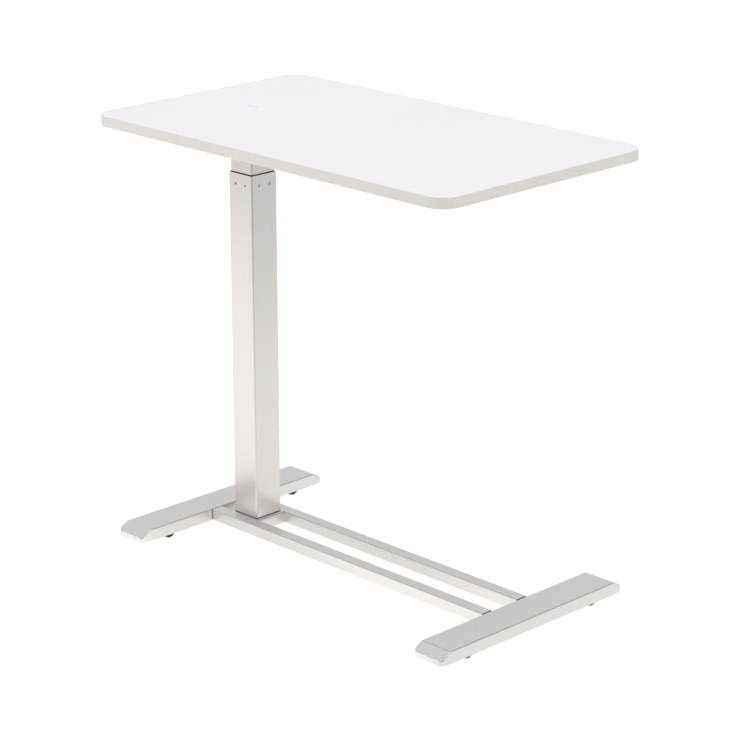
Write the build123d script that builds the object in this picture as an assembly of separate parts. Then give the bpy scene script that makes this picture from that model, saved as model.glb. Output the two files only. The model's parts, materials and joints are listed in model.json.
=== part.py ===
from build123d import *
import os

# Overbed table: H-shaped base on four swivel casters, one telescopic column with a
# lockable gas spring at the -X end, and a cantilevered top with a release lever.
# Millimetres. +X runs along the top, away from the column; +Z is up; the origin is on
# the floor under the middle of the top.

# ---------------------------------------------------------------- driving dimensions

# Tabletop
TOP_LENGTH = 800.0
TOP_WIDTH = 460.0
TOP_THICKNESS = 18.0
TOP_CORNER_RADIUS = 35.0
TABLE_HEIGHT = 760.0
BAND_THICKNESS = 1.5
BAND_EDGE_RADIUS = 1.0

# Lift travel from the height that is modelled
LIFT_DOWN = 60.0
LIFT_UP = 340.0

# Base
GROUND_CLEARANCE = 14.0
FOOT_CENTRE_X = 357.0
FOOT_WIDTH = 64.0
FOOT_HEIGHT = 21.0
FOOT_LENGTH = 426.0
FOOT_TOP_LENGTH = 387.0
FOOT_END_WALL = 8.5
FOOT_WALL = 2.0
FOOT_CORNER_RADIUS = 8.0
FOOT_EDGE_RADIUS = 2.5
RAIL_WIDTH = 23.0
RAIL_HEIGHT = 20.0
RAIL_WALL = 1.5
RAIL_RADIUS = 1.5
RAIL_GAP = 59.0
COLLAR_LENGTH = 3.0

# Column
COLUMN_X = -264.0
OUTER_TUBE = 57.0
OUTER_TUBE_WALL = 1.5
OUTER_TUBE_RADIUS = 3.0
OUTER_TUBE_TOP = 646.0
INNER_TUBE = 52.0
INNER_TUBE_WALL = 1.5
INNER_TUBE_RADIUS = 2.5
INNER_TUBE_BOTTOM = 122.0
RUNNING_GAP = 0.06
BUSH_LIP = 1.6
SEAT_BACK_X = -300.0
SEAT_FRONT_X = -228.0
SEAT_WALL = 3.0
FOOT_PLATE_THICKNESS = 6.0
PEG_HEIGHT = 628.0
PEG_OFFSET = 12.0
PEG_RADIUS = 2.3
PEG_SUNK = 0.9

# Fasteners and fits
BOLT_RADIUS = 3.0
BOLT_HOLE = 3.2
BOLT_FLATS = 10.0
SCREW_RADIUS = 2.5
SCREW_HEAD_HEIGHT = 2.6
PANEL_SCREW_DEPTH = 12.0
HEAD_SCREW_DEPTH = 11.0
COLUMN_BOLT_OFFSET = 17.0
SHAFT_GAP = 0.05

# Gas spring
CYLINDER_RADIUS = 14.0
CYLINDER_WALL = 1.5
CYLINDER_LENGTH = 500.0
CYLINDER_BOSS = 10.0
CYLINDER_END = 5.0
GLAND_LENGTH = 18.0
ROD_RADIUS = 5.0
SPRING_STUD_RADIUS = 4.0
SPRING_STUD_HOLE = 4.3
RELEASE_HEAD_SIZE = 36.0
RELEASE_HEAD_HEIGHT = 18.0
PISTON_LENGTH = 20.0
PISTON_CLEARANCE = 3.0
PIN_RADIUS = 1.6
PIN_LENGTH = 30.0

# Under the top
PLATE_THICKNESS = 5.0
PLATE_BACK_X = -324.0
PLATE_FRONT_X = -204.0
PLATE_HALF_WIDTH = 120.0
ARM_WIDTH = 30.0
ARM_HEIGHT = 20.0
ARM_WALL = 1.5
ARM_RADIUS = 2.0
ARM_Y = 100.0
ARM_BACK_X = -340.0
ARM_FRONT_X = 200.0

# Release lever
LEVER_ARM = 28.0
LEVER_THICKNESS = 3.0
LEVER_WIDTH = 16.0
LEVER_PIVOT_Z = 728.0
LEVER_PIN_RADIUS = 2.5
LEVER_BARREL_RADIUS = 4.5
LEVER_TIP_X = -388.0
GRIP_LENGTH = 46.0
GRIP_WIDTH = 34.0
GRIP_THICKNESS = 9.0
GRIP_DROP = 7.0
GRIP_END_WALL = 6.0
TAPPET_GAP = 0.3

# Casters
CASTER_Y = 147.0
CASTER_TRAIL = 10.0
WHEEL_RADIUS = 12.5
WHEEL_WIDTH = 10.0
WHEEL_INNER_FACE = 6.0
AXLE_RADIUS = 2.0
KINGPIN_RADIUS = 3.0
CASTER_PLATE_THICKNESS = 2.0
CASTER_STUD_X = 17.0
CASTER_STUD_Y = 15.0
CASTER_STUD_RADIUS = 2.0
CASTER_NUT_HEIGHT = 2.4
CASTER_HUB_HEIGHT = 7.0

# ---------------------------------------------------------------- derived dimensions

FOOT_BOTTOM = GROUND_CLEARANCE
FOOT_TOP = FOOT_BOTTOM + FOOT_HEIGHT
RAIL_TOP = FOOT_BOTTOM + RAIL_HEIGHT
RAIL_MID_Z = FOOT_BOTTOM + RAIL_HEIGHT / 2
RAIL_Y = RAIL_GAP / 2 + RAIL_WIDTH / 2
FOOT_INNER_X = FOOT_CENTRE_X - FOOT_WIDTH / 2
RAIL_END_X = FOOT_INNER_X - COLLAR_LENGTH
TOP_UNDERSIDE = TABLE_HEIGHT - TOP_THICKNESS
PLATE_TOP = TOP_UNDERSIDE - ARM_HEIGHT
PLATE_BOTTOM = PLATE_TOP - PLATE_THICKNESS
ARM_MID_Z = PLATE_TOP + ARM_HEIGHT / 2
OUTER_CAVITY = OUTER_TUBE - 2 * OUTER_TUBE_WALL
INNER_CAVITY = INNER_TUBE - 2 * INNER_TUBE_WALL
CAVITY_RADIUS = OUTER_TUBE_RADIUS - OUTER_TUBE_WALL
FOOT_PLATE_TOP = RAIL_TOP + FOOT_PLATE_THICKNESS
CYLINDER_BOTTOM = FOOT_PLATE_TOP + CYLINDER_BOSS
CYLINDER_TOP = CYLINDER_BOTTOM + CYLINDER_LENGTH
CYLINDER_BORE = CYLINDER_RADIUS - CYLINDER_WALL
PISTON_BOTTOM = CYLINDER_BOTTOM + CYLINDER_END + LIFT_DOWN + PISTON_CLEARANCE
PIN_TOP = LEVER_PIVOT_Z - LEVER_THICKNESS / 2 - TAPPET_GAP
PIN_BOTTOM = PIN_TOP - PIN_LENGTH
LEVER_PIVOT_X = COLUMN_X - LEVER_ARM
TRAY_CEILING = FOOT_TOP - FOOT_WALL
CASTER_PLATE_BOTTOM = TRAY_CEILING - CASTER_PLATE_THICKNESS
CASTER_HUB_TOP = CASTER_PLATE_BOTTOM - 0.4
CASTER_HUB_BOTTOM = CASTER_HUB_TOP - CASTER_HUB_HEIGHT
KINGPIN_BOTTOM = CASTER_HUB_BOTTOM + 1


# ---------------------------------------------------------------- helpers

def upright(x, y, z, radius, height):
    """A cylinder standing on the point x, y, z."""
    return Pos(x, y, z) * Cylinder(radius, height, align=(Align.CENTER, Align.CENTER, Align.MIN))


def lying_x(x, y, z, radius, length):
    """A cylinder along X, starting at the point x, y, z."""
    cylinder = Cylinder(radius, length, align=(Align.CENTER, Align.CENTER, Align.MIN))
    return Pos(x, y, z) * Rot(0, 90, 0) * cylinder


def lying_y(x, y, z, radius, length):
    """A cylinder along Y, centred on the point x, y, z."""
    return Pos(x, y, z) * Rot(90, 0, 0) * Cylinder(radius, length)


def block(x0, x1, y0, y1, z0, z1):
    """A rectangular block between two corners."""
    return Pos((x0 + x1) / 2, (y0 + y1) / 2, (z0 + z1) / 2) * Box(x1 - x0, y1 - y0, z1 - z0)


def rounded_post(x, y, size, radius, z0, z1):
    """A square post with rounded corners, from z0 up to z1."""
    return Pos(x, y, z0) * extrude(RectangleRounded(size, size, radius), z1 - z0)


def square_tube(x, y, size, radius, wall, z0, z1):
    """A standing square tube."""
    inner_radius = max(radius - wall, 0.5)
    hollow = rounded_post(x, y, size - 2 * wall, inner_radius, z0, z1)
    return rounded_post(x, y, size, radius, z0, z1) - hollow


def bar_x(x0, x1, y, z, width, height, radius):
    """A bar along X with a rounded rectangular section."""
    plane = Plane(origin=(x0, y, z), x_dir=(0, 1, 0), z_dir=(1, 0, 0))
    return extrude(plane * RectangleRounded(width, height, radius), x1 - x0)


def tube_x(x0, x1, y, z, width, height, radius, wall):
    """A rectangular tube along X."""
    hollow = bar_x(x0, x1, y, z, width - 2 * wall, height - 2 * wall, max(radius - wall, 0.4))
    return bar_x(x0, x1, y, z, width, height, radius) - hollow


def hexagon(x, y, z, across_flats, height, hole):
    """A hexagon nut or bolt head standing on x, y, z, with a hole if one is given."""
    body = Pos(x, y, z) * extrude(RegularPolygon(across_flats / 2, 6, major_radius=False), height)
    if hole:
        body -= upright(x, y, z, hole, height)
    return body


def side_signs():
    """The four combinations of -X/+X and -Y/+Y."""
    return [(sx, sy) for sx in (-1, 1) for sy in (-1, 1)]


def save(name, solids):
    """Write one node, which may hold several separate solids."""
    items = solids if isinstance(solids, list) else [solids]
    bodies = [body for item in items for body in item.solids()]
    shape = bodies[0] if len(bodies) == 1 else Compound(bodies)
    shape.label = name
    export_step(shape, f"parts/{name}.step")


# ---------------------------------------------------------------- base frame

def foot_form(inset):
    """The foot's outer form, shrunk by an inset on its top and sides."""
    half = FOOT_LENGTH / 2 - inset
    half_top = FOOT_TOP_LENGTH / 2 - inset / 2
    outline = Polyline(
        (-half, FOOT_BOTTOM),
        (half, FOOT_BOTTOM),
        (half, FOOT_BOTTOM + FOOT_END_WALL - inset / 2),
        (half_top, FOOT_TOP - inset),
        (-half_top, FOOT_TOP - inset),
        (-half, FOOT_BOTTOM + FOOT_END_WALL - inset / 2),
        close=True,
    )
    width = FOOT_WIDTH - 2 * inset
    side = extrude(Plane.YZ * make_face(outline), width / 2, both=True)
    plan = extrude(RectangleRounded(width, 2 * half, FOOT_CORNER_RADIUS - inset), FOOT_TOP)
    form = side & plan
    rim = form.edges().filter_by(lambda edge: edge.center().Z > FOOT_BOTTOM + FOOT_END_WALL)
    long_rims = rim.filter_by(Axis.Y)
    return fillet(long_rims, FOOT_EDGE_RADIUS - inset / 2) if inset < FOOT_EDGE_RADIUS else form


def foot_beam(side):
    """A pressed foot, open below, with caster studs and holes for the rail bolts."""
    beam = foot_form(0) - foot_form(FOOT_WALL)
    beam = Pos(side * FOOT_CENTRE_X, 0, 0) * beam
    inner_face = side * (FOOT_CENTRE_X - FOOT_WIDTH / 2)
    for sy in (-1, 1):
        hole_start = inner_face - FOOT_WALL * 2
        beam -= lying_x(hole_start, sy * RAIL_Y, RAIL_MID_Z, BOLT_HOLE, FOOT_WALL * 4)
        for stud_side in (-1, 1):
            stud_x = side * FOOT_CENTRE_X + stud_side * CASTER_STUD_X
            stud_y = sy * CASTER_Y + stud_side * CASTER_STUD_Y
            stud_bottom = CASTER_PLATE_BOTTOM - CASTER_NUT_HEIGHT - 0.2
            beam += upright(stud_x, stud_y, stud_bottom, CASTER_STUD_RADIUS, TRAY_CEILING - stud_bottom)
    return beam


def rail(sy):
    """One long rail, from the left foot to the collar at the right foot."""
    return tube_x(
        -FOOT_INNER_X, RAIL_END_X, sy * RAIL_Y, RAIL_MID_Z,
        RAIL_WIDTH, RAIL_HEIGHT, RAIL_RADIUS, RAIL_WALL,
    )


def rail_insert(x_face, direction, flange, sy):
    """A plug in a rail's end, bored for the bolt; its flange, if any, closes the tube."""
    plug_length = 18.0
    flange_inset = 1.6
    y = sy * RAIL_Y
    ends = sorted((x_face, x_face - direction * plug_length))
    core_width = RAIL_WIDTH - 2 * RAIL_WALL
    core_height = RAIL_HEIGHT - 2 * RAIL_WALL
    plug = bar_x(ends[0], ends[1], y, RAIL_MID_Z, core_width, core_height, 0.4)
    if flange:
        start, end = sorted((x_face, x_face + direction * flange))
        flange_width = RAIL_WIDTH - flange_inset
        flange_height = RAIL_HEIGHT - flange_inset
        plug += bar_x(start, end, y, RAIL_MID_Z, flange_width, flange_height, RAIL_RADIUS)
    bore_start = ends[0] - flange - 1
    bore_length = plug_length + 2 * flange + 2
    return plug - lying_x(bore_start, y, RAIL_MID_Z, BOLT_RADIUS + SHAFT_GAP, bore_length)


def rail_bolt(x_wall, direction, sy):
    """A bolt with its head inside the foot and its shank in the rail's insert."""
    head_length = 4.0
    shank_length = 20.0
    y = sy * RAIL_Y
    head_start = min(x_wall, x_wall + direction * head_length)
    shank_start = min(x_wall, x_wall - direction * shank_length)
    head = lying_x(head_start, y, RAIL_MID_Z, 5.0, head_length)
    socket_depth = 2.4
    socket_ends = sorted((head_length - socket_depth, head_length))
    socket_start = min(x_wall + direction * end for end in socket_ends)
    socket = lying_x(socket_start, y, RAIL_MID_Z, 2.2, socket_depth)
    return head - socket + lying_x(shank_start, y, RAIL_MID_Z, BOLT_RADIUS, shank_length)


def column_bolt_places():
    """Four bolts that hold the column to its seat."""
    return [(COLUMN_X + sx * COLUMN_BOLT_OFFSET, sy * COLUMN_BOLT_OFFSET) for sx, sy in side_signs()]


def column_seat():
    """The inverted channel between the rails that the column stands on."""
    half = RAIL_GAP / 2
    inside_x = (SEAT_BACK_X + SEAT_WALL, SEAT_FRONT_X - SEAT_WALL)
    seat = block(SEAT_BACK_X, SEAT_FRONT_X, -half, half, FOOT_BOTTOM, RAIL_TOP)
    seat -= block(*inside_x, -half, half, FOOT_BOTTOM, RAIL_TOP - SEAT_WALL)
    for x, y in column_bolt_places():
        seat -= upright(x, y, FOOT_BOTTOM, BOLT_HOLE, RAIL_HEIGHT)
    return seat - upright(COLUMN_X, 0, FOOT_BOTTOM, SPRING_STUD_HOLE, RAIL_HEIGHT)


def column_foot_plate():
    """The plate welded into the bottom of the outer tube, which takes the bolts and the gas spring."""
    plate = rounded_post(COLUMN_X, 0, OUTER_CAVITY, CAVITY_RADIUS, RAIL_TOP, FOOT_PLATE_TOP)
    for x, y in column_bolt_places():
        plate -= upright(x, y, RAIL_TOP, BOLT_RADIUS + SHAFT_GAP, FOOT_PLATE_THICKNESS)
    return plate - upright(COLUMN_X, 0, RAIL_TOP, SPRING_STUD_HOLE, FOOT_PLATE_THICKNESS)


def column_bolt(x, y):
    """A hexagon bolt from under the seat up into the foot plate."""
    head_height = 4.5
    under_seat = RAIL_TOP - SEAT_WALL
    shank_length = SEAT_WALL + FOOT_PLATE_THICKNESS + 3
    head = hexagon(x, y, under_seat - head_height, BOLT_FLATS, head_height, 0)
    return head + upright(x, y, under_seat, BOLT_RADIUS, shank_length)


# ---------------------------------------------------------------- column

def peg_axes():
    """Place and direction of the eight pegs that hold the guide bush, two on each face."""
    half = OUTER_TUBE / 2
    for offset in (-PEG_OFFSET, PEG_OFFSET):
        yield (COLUMN_X + offset, -half), (0, 1)
        yield (COLUMN_X + offset, half), (0, -1)
        yield (COLUMN_X - half, offset), (1, 0)
        yield (COLUMN_X + half, offset), (-1, 0)


def peg(place, inward, radius, depth):
    """A round peg that goes into the column from one of its faces."""
    face = Plane(origin=(place[0], place[1], PEG_HEIGHT), z_dir=(inward[0], inward[1], 0))
    return extrude(face * Circle(radius), depth)


def outer_column_tube():
    """The fixed tube, with peg holes below its rim."""
    tube = square_tube(
        COLUMN_X, 0, OUTER_TUBE, OUTER_TUBE_RADIUS, OUTER_TUBE_WALL, RAIL_TOP, OUTER_TUBE_TOP
    )
    for place, inward in peg_axes():
        tube -= peg(place, inward, PEG_RADIUS, OUTER_TUBE_WALL)
    return tube


def guide_bush_pegs():
    """Moulded pegs of the bush, sunk a little below the tube's face."""
    pegs = []
    for place, inward in peg_axes():
        start = (place[0] + inward[0] * PEG_SUNK, place[1] + inward[1] * PEG_SUNK)
        pegs.append(peg(start, inward, PEG_RADIUS - SHAFT_GAP, OUTER_TUBE_WALL - PEG_SUNK))
    return pegs


def upper_guide_bush():
    """The plastic sleeve inside the outer tube's mouth that the inner tube slides in."""
    skirt_length = 60.0
    lip_top = OUTER_TUBE_TOP + BUSH_LIP
    bottom = OUTER_TUBE_TOP - skirt_length
    inside = INNER_TUBE + 2 * RUNNING_GAP
    lip_size = INNER_TUBE + 1.2
    bush = rounded_post(COLUMN_X, 0, OUTER_CAVITY, CAVITY_RADIUS, bottom, OUTER_TUBE_TOP)
    bush += rounded_post(COLUMN_X, 0, lip_size, INNER_TUBE_RADIUS + 0.6, OUTER_TUBE_TOP, lip_top)
    return bush - rounded_post(COLUMN_X, 0, inside, INNER_TUBE_RADIUS, bottom, lip_top)


def inner_column_tube():
    """The sliding tube, welded under the mounting plate."""
    return square_tube(
        COLUMN_X, 0, INNER_TUBE, INNER_TUBE_RADIUS, INNER_TUBE_WALL, INNER_TUBE_BOTTOM, PLATE_BOTTOM
    )


def lower_glide_shoe():
    """The plastic shoe on the inner tube's lower end, which runs in the outer tube."""
    flange = 10.0
    skirt = 18.0
    outside = OUTER_CAVITY - 2 * RUNNING_GAP
    bore = INNER_CAVITY - 6
    bottom = INNER_TUBE_BOTTOM - flange
    top = INNER_TUBE_BOTTOM + skirt
    shoe = rounded_post(COLUMN_X, 0, outside, CAVITY_RADIUS, bottom, INNER_TUBE_BOTTOM)
    shoe += rounded_post(COLUMN_X, 0, INNER_CAVITY, 1.0, INNER_TUBE_BOTTOM, top)
    return shoe - rounded_post(COLUMN_X, 0, bore, 4.0, bottom, top)


# ---------------------------------------------------------------- gas spring

def gas_spring_cylinder():
    """The pressure tube, with a boss and a threaded stud at its closed end."""
    tube = upright(COLUMN_X, 0, CYLINDER_BOTTOM, CYLINDER_RADIUS, CYLINDER_LENGTH)
    bore_bottom = CYLINDER_BOTTOM + CYLINDER_END
    tube -= upright(COLUMN_X, 0, bore_bottom, CYLINDER_BORE, CYLINDER_TOP - bore_bottom)
    tube += upright(COLUMN_X, 0, FOOT_PLATE_TOP, 8.0, CYLINDER_BOSS)
    stud_bottom = FOOT_BOTTOM + 6
    return tube + upright(COLUMN_X, 0, stud_bottom, SPRING_STUD_RADIUS, FOOT_PLATE_TOP - stud_bottom)


def gas_spring_nut():
    """The nut on the cylinder's stud, under the seat."""
    nut_height = 6.5
    bottom = RAIL_TOP - SEAT_WALL - nut_height
    return hexagon(COLUMN_X, 0, bottom, 13, nut_height, SPRING_STUD_RADIUS + SHAFT_GAP)


def gas_spring_gland():
    """The rod guide in the cylinder's mouth."""
    bottom = CYLINDER_TOP - GLAND_LENGTH
    gland = upright(COLUMN_X, 0, bottom, CYLINDER_BORE, GLAND_LENGTH)
    return gland - upright(COLUMN_X, 0, bottom, ROD_RADIUS + SHAFT_GAP, GLAND_LENGTH)


def gas_spring_rod():
    """The rod, from the piston to the release head, bored at its top for the release pin."""
    bottom = PISTON_BOTTOM - 2
    rod = upright(COLUMN_X, 0, bottom, ROD_RADIUS, PLATE_TOP - bottom)
    bore_bottom = PIN_BOTTOM - 4
    return rod - upright(COLUMN_X, 0, bore_bottom, PIN_RADIUS + SHAFT_GAP, PLATE_TOP - bore_bottom)


def gas_spring_piston():
    """The piston on the rod's lower end, with a groove for its seal."""
    groove_depth = 2.0
    groove_width = 4.0
    radius = CYLINDER_BORE - SHAFT_GAP
    groove_bottom = PISTON_BOTTOM + (PISTON_LENGTH - groove_width) / 2
    piston = upright(COLUMN_X, 0, PISTON_BOTTOM, radius, PISTON_LENGTH)
    groove = upright(COLUMN_X, 0, groove_bottom, radius + 1, groove_width)
    groove -= upright(COLUMN_X, 0, groove_bottom, radius - groove_depth, groove_width)
    return piston - groove - upright(COLUMN_X, 0, PISTON_BOTTOM, ROD_RADIUS, PISTON_LENGTH)


def piston_seal():
    """The ring in the piston's groove."""
    radius = CYLINDER_BORE - SHAFT_GAP
    ring_width = 3.0
    ring_depth = 1.9
    bottom = PISTON_BOTTOM + (PISTON_LENGTH - ring_width) / 2
    ring = upright(COLUMN_X, 0, bottom, radius, ring_width)
    return ring - upright(COLUMN_X, 0, bottom, radius - ring_depth, ring_width)


def release_head():
    """The block under the mounting plate that holds the rod's end."""
    bottom = PLATE_BOTTOM - RELEASE_HEAD_HEIGHT
    head = rounded_post(COLUMN_X, 0, RELEASE_HEAD_SIZE, 3.0, bottom, PLATE_BOTTOM)
    head -= upright(COLUMN_X, 0, bottom, ROD_RADIUS, RELEASE_HEAD_HEIGHT)
    for x, y in head_screw_places():
        head -= upright(x, y, PLATE_BOTTOM - HEAD_SCREW_DEPTH - 1, SCREW_RADIUS, HEAD_SCREW_DEPTH + 1)
    return head


def rod_lock_nut():
    """The nut that locks the rod under the release head."""
    nut_height = 5.0
    bottom = PLATE_BOTTOM - RELEASE_HEAD_HEIGHT - nut_height
    return hexagon(COLUMN_X, 0, bottom, 17, nut_height, ROD_RADIUS)


def head_screw_places():
    """Two countersunk screws that hold the release head to the mounting plate."""
    return [(COLUMN_X, sy * 12.0) for sy in (-1, 1)]


def head_screw_cone(x, y):
    """The countersunk head's cone."""
    middle_z = PLATE_TOP - SCREW_HEAD_HEIGHT / 2
    return Pos(x, y, middle_z) * Cone(SCREW_RADIUS, 2 * SCREW_RADIUS, SCREW_HEAD_HEIGHT)


def head_screw(x, y):
    """A countersunk screw, its head flush with the top of the mounting plate."""
    socket_depth = 1.6
    bottom = PLATE_BOTTOM - HEAD_SCREW_DEPTH
    shank = upright(x, y, bottom, SCREW_RADIUS, PLATE_TOP - SCREW_HEAD_HEIGHT - bottom)
    screw = head_screw_cone(x, y) + shank
    return screw - upright(x, y, PLATE_TOP - socket_depth, 1.6, socket_depth)


def release_pin():
    """The thin pin that slides in the rod and opens the gas spring's valve."""
    return upright(COLUMN_X, 0, PIN_BOTTOM, PIN_RADIUS, PIN_LENGTH)


# ---------------------------------------------------------------- under the top

def plate_bolt_places():
    """Two bolts through the mounting plate into each arm."""
    return [(x, sy * ARM_Y) for sy in (-1, 1) for x in (PLATE_BACK_X + 22, PLATE_FRONT_X - 22)]


def panel_screw_places():
    """Three screws through each arm into the top."""
    return [(x, sy * ARM_Y) for sy in (-1, 1) for x in (PLATE_FRONT_X + 20, 0.0, ARM_FRONT_X - 30)]


def mounting_plate():
    """The plate between the column and the two arms."""
    size_x = PLATE_FRONT_X - PLATE_BACK_X
    outline = RectangleRounded(size_x, 2 * PLATE_HALF_WIDTH, 10)
    plate = Pos((PLATE_BACK_X + PLATE_FRONT_X) / 2, 0, PLATE_BOTTOM) * extrude(outline, PLATE_THICKNESS)
    plate -= upright(COLUMN_X, 0, PLATE_BOTTOM, ROD_RADIUS + 0.3, PLATE_THICKNESS)
    for x, y in plate_bolt_places():
        plate -= upright(x, y, PLATE_BOTTOM, BOLT_HOLE, PLATE_THICKNESS)
    for x, y in head_screw_places():
        plate -= upright(x, y, PLATE_BOTTOM, SCREW_RADIUS, PLATE_THICKNESS)
        plate -= head_screw_cone(x, y)
    return plate


def support_arm(sy):
    """A rectangular tube under the top, with holes for its bolts and screws."""
    arm = tube_x(
        ARM_BACK_X, ARM_FRONT_X, sy * ARM_Y, ARM_MID_Z,
        ARM_WIDTH, ARM_HEIGHT, ARM_RADIUS, ARM_WALL,
    )
    for x, y in plate_bolt_places():
        arm -= upright(x, y, PLATE_TOP, BOLT_HOLE, ARM_HEIGHT / 2)
    for x, y in panel_screw_places():
        arm -= upright(x, y, PLATE_TOP, SCREW_RADIUS + 0.2, ARM_HEIGHT)
    return arm


def arm_cap(end_x, direction, sy):
    """A plastic cap in the end of an arm."""
    y = sy * ARM_Y
    flange = sorted((end_x, end_x + direction * 2.0))
    spigot = sorted((end_x, end_x - direction * 12.0))
    core = (ARM_WIDTH - 2 * ARM_WALL, ARM_HEIGHT - 2 * ARM_WALL)
    cap = bar_x(*flange, y, ARM_MID_Z, ARM_WIDTH, ARM_HEIGHT, ARM_RADIUS)
    return cap + bar_x(*spigot, y, ARM_MID_Z, *core, 0.5)


def plate_bolt(x, y):
    """A hexagon bolt from under the mounting plate into an arm."""
    head_height = 4.0
    head = hexagon(x, y, PLATE_BOTTOM - head_height, BOLT_FLATS, head_height, 0)
    return head + upright(x, y, PLATE_BOTTOM, BOLT_RADIUS, PLATE_THICKNESS + 10)


def plate_nut(x, y):
    """The nut of a plate bolt, inside the arm."""
    return hexagon(x, y, PLATE_TOP + ARM_WALL, BOLT_FLATS, 5.0, BOLT_RADIUS + SHAFT_GAP)


def panel_screw(x, y):
    """A pan-head screw from under an arm into the top."""
    head_height = 3.0
    head = upright(x, y, PLATE_TOP - head_height, 2 * SCREW_RADIUS, head_height)
    return head + upright(x, y, PLATE_TOP, SCREW_RADIUS, ARM_HEIGHT + PANEL_SCREW_DEPTH)


def top_slab(inset):
    """The top's outline, shrunk by an inset, through its whole thickness."""
    outline = RectangleRounded(
        TOP_LENGTH - 2 * inset, TOP_WIDTH - 2 * inset, TOP_CORNER_RADIUS - inset
    )
    return Pos(0, 0, TOP_UNDERSIDE) * extrude(outline, TOP_THICKNESS)


def tabletop_panel():
    """The board, without its edge band."""
    panel = top_slab(BAND_THICKNESS)
    for x, y in panel_screw_places():
        panel -= upright(x, y, TOP_UNDERSIDE, SCREW_RADIUS + SHAFT_GAP, PANEL_SCREW_DEPTH + 0.5)
    return panel


def edge_band():
    """The plastic band round the board, with softened edges."""
    outer = top_slab(0)
    rims = outer.edges().group_by(Axis.Z)
    return fillet(rims[0] + rims[-1], BAND_EDGE_RADIUS) - top_slab(BAND_THICKNESS)


# ---------------------------------------------------------------- release lever

def lever_bracket():
    """Two ears on the mounting plate that hold the lever's pivot pin."""
    ear_inside = 10.0
    ear_thickness = 2.0
    flange_width = 10.0
    ears = []
    for sy in (-1, 1):
        ear_y = sorted((sy * ear_inside, sy * (ear_inside + ear_thickness)))
        flange_y = sorted((sy * ear_inside, sy * (ear_inside + ear_thickness + flange_width)))
        x0, x1 = LEVER_PIVOT_X - 8, LEVER_PIVOT_X + 8
        ear = block(x0, x1, ear_y[0], ear_y[1], PLATE_TOP, LEVER_PIVOT_Z + 6)
        ear += block(x0, x1, flange_y[0], flange_y[1], PLATE_TOP, PLATE_TOP + ear_thickness)
        ears.append(ear - lying_y(LEVER_PIVOT_X, 0, LEVER_PIVOT_Z, LEVER_PIN_RADIUS, 60))
    return ears


def lever_pivot_pin():
    """The pin through both ears and the lever's barrel."""
    return lying_y(LEVER_PIVOT_X, 0, LEVER_PIVOT_Z, LEVER_PIN_RADIUS, 28)


def release_lever():
    """The steel lever: a tongue over the release pin, a barrel, and a strip to the grip."""
    half = LEVER_THICKNESS / 2
    z0, z1 = LEVER_PIVOT_Z - half, LEVER_PIVOT_Z + half
    tongue_end = COLUMN_X + 6
    strip = block(LEVER_TIP_X + GRIP_END_WALL, tongue_end, -LEVER_WIDTH / 2, LEVER_WIDTH / 2, z0, z1)
    strip = fillet(strip.edges().filter_by(Axis.Z), 4.0)
    strip += lying_y(LEVER_PIVOT_X, 0, LEVER_PIVOT_Z, LEVER_BARREL_RADIUS, 18)
    return strip - lying_y(LEVER_PIVOT_X, 0, LEVER_PIVOT_Z, LEVER_PIN_RADIUS + SHAFT_GAP, 20)


def lever_grip():
    """The moulded paddle at the lever's end, which the fingers lift."""
    middle_x = LEVER_TIP_X + GRIP_LENGTH / 2
    outline = RectangleRounded(GRIP_LENGTH, GRIP_WIDTH, 9)
    bottom = LEVER_PIVOT_Z - GRIP_DROP
    grip = Pos(middle_x, 0, bottom) * extrude(outline, GRIP_THICKNESS)
    rims = grip.edges().group_by(Axis.Z)
    grip = fillet(rims[0] + rims[-1], 3.0)
    return grip - block(
        LEVER_TIP_X + GRIP_END_WALL, LEVER_TIP_X + GRIP_LENGTH + 1,
        -LEVER_WIDTH / 2, LEVER_WIDTH / 2,
        LEVER_PIVOT_Z - LEVER_THICKNESS / 2, LEVER_PIVOT_Z + LEVER_THICKNESS / 2,
    )


# ---------------------------------------------------------------- casters

def caster_plate(x, y):
    """A caster's top plate, riveted to its kingpin and hung on the foot's studs."""
    outline = RectangleRounded(46, 40, 5)
    plate = Pos(x, y, CASTER_PLATE_BOTTOM) * extrude(outline, CASTER_PLATE_THICKNESS)
    plate += upright(x, y, KINGPIN_BOTTOM, KINGPIN_RADIUS, CASTER_PLATE_BOTTOM - KINGPIN_BOTTOM)
    for side in (-1, 1):
        place = (x + side * CASTER_STUD_X, y + side * CASTER_STUD_Y)
        plate -= upright(*place, CASTER_PLATE_BOTTOM, CASTER_STUD_RADIUS + 0.2, CASTER_PLATE_THICKNESS)
    return plate


def caster_nuts(x, y):
    """The two nuts that hold one caster's plate."""
    bottom = CASTER_PLATE_BOTTOM - CASTER_NUT_HEIGHT
    hole = CASTER_STUD_RADIUS + SHAFT_GAP
    nuts = []
    for side in (-1, 1):
        place = (x + side * CASTER_STUD_X, y + side * CASTER_STUD_Y)
        nuts.append(hexagon(*place, bottom, 7, CASTER_NUT_HEIGHT, hole))
    return nuts


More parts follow.
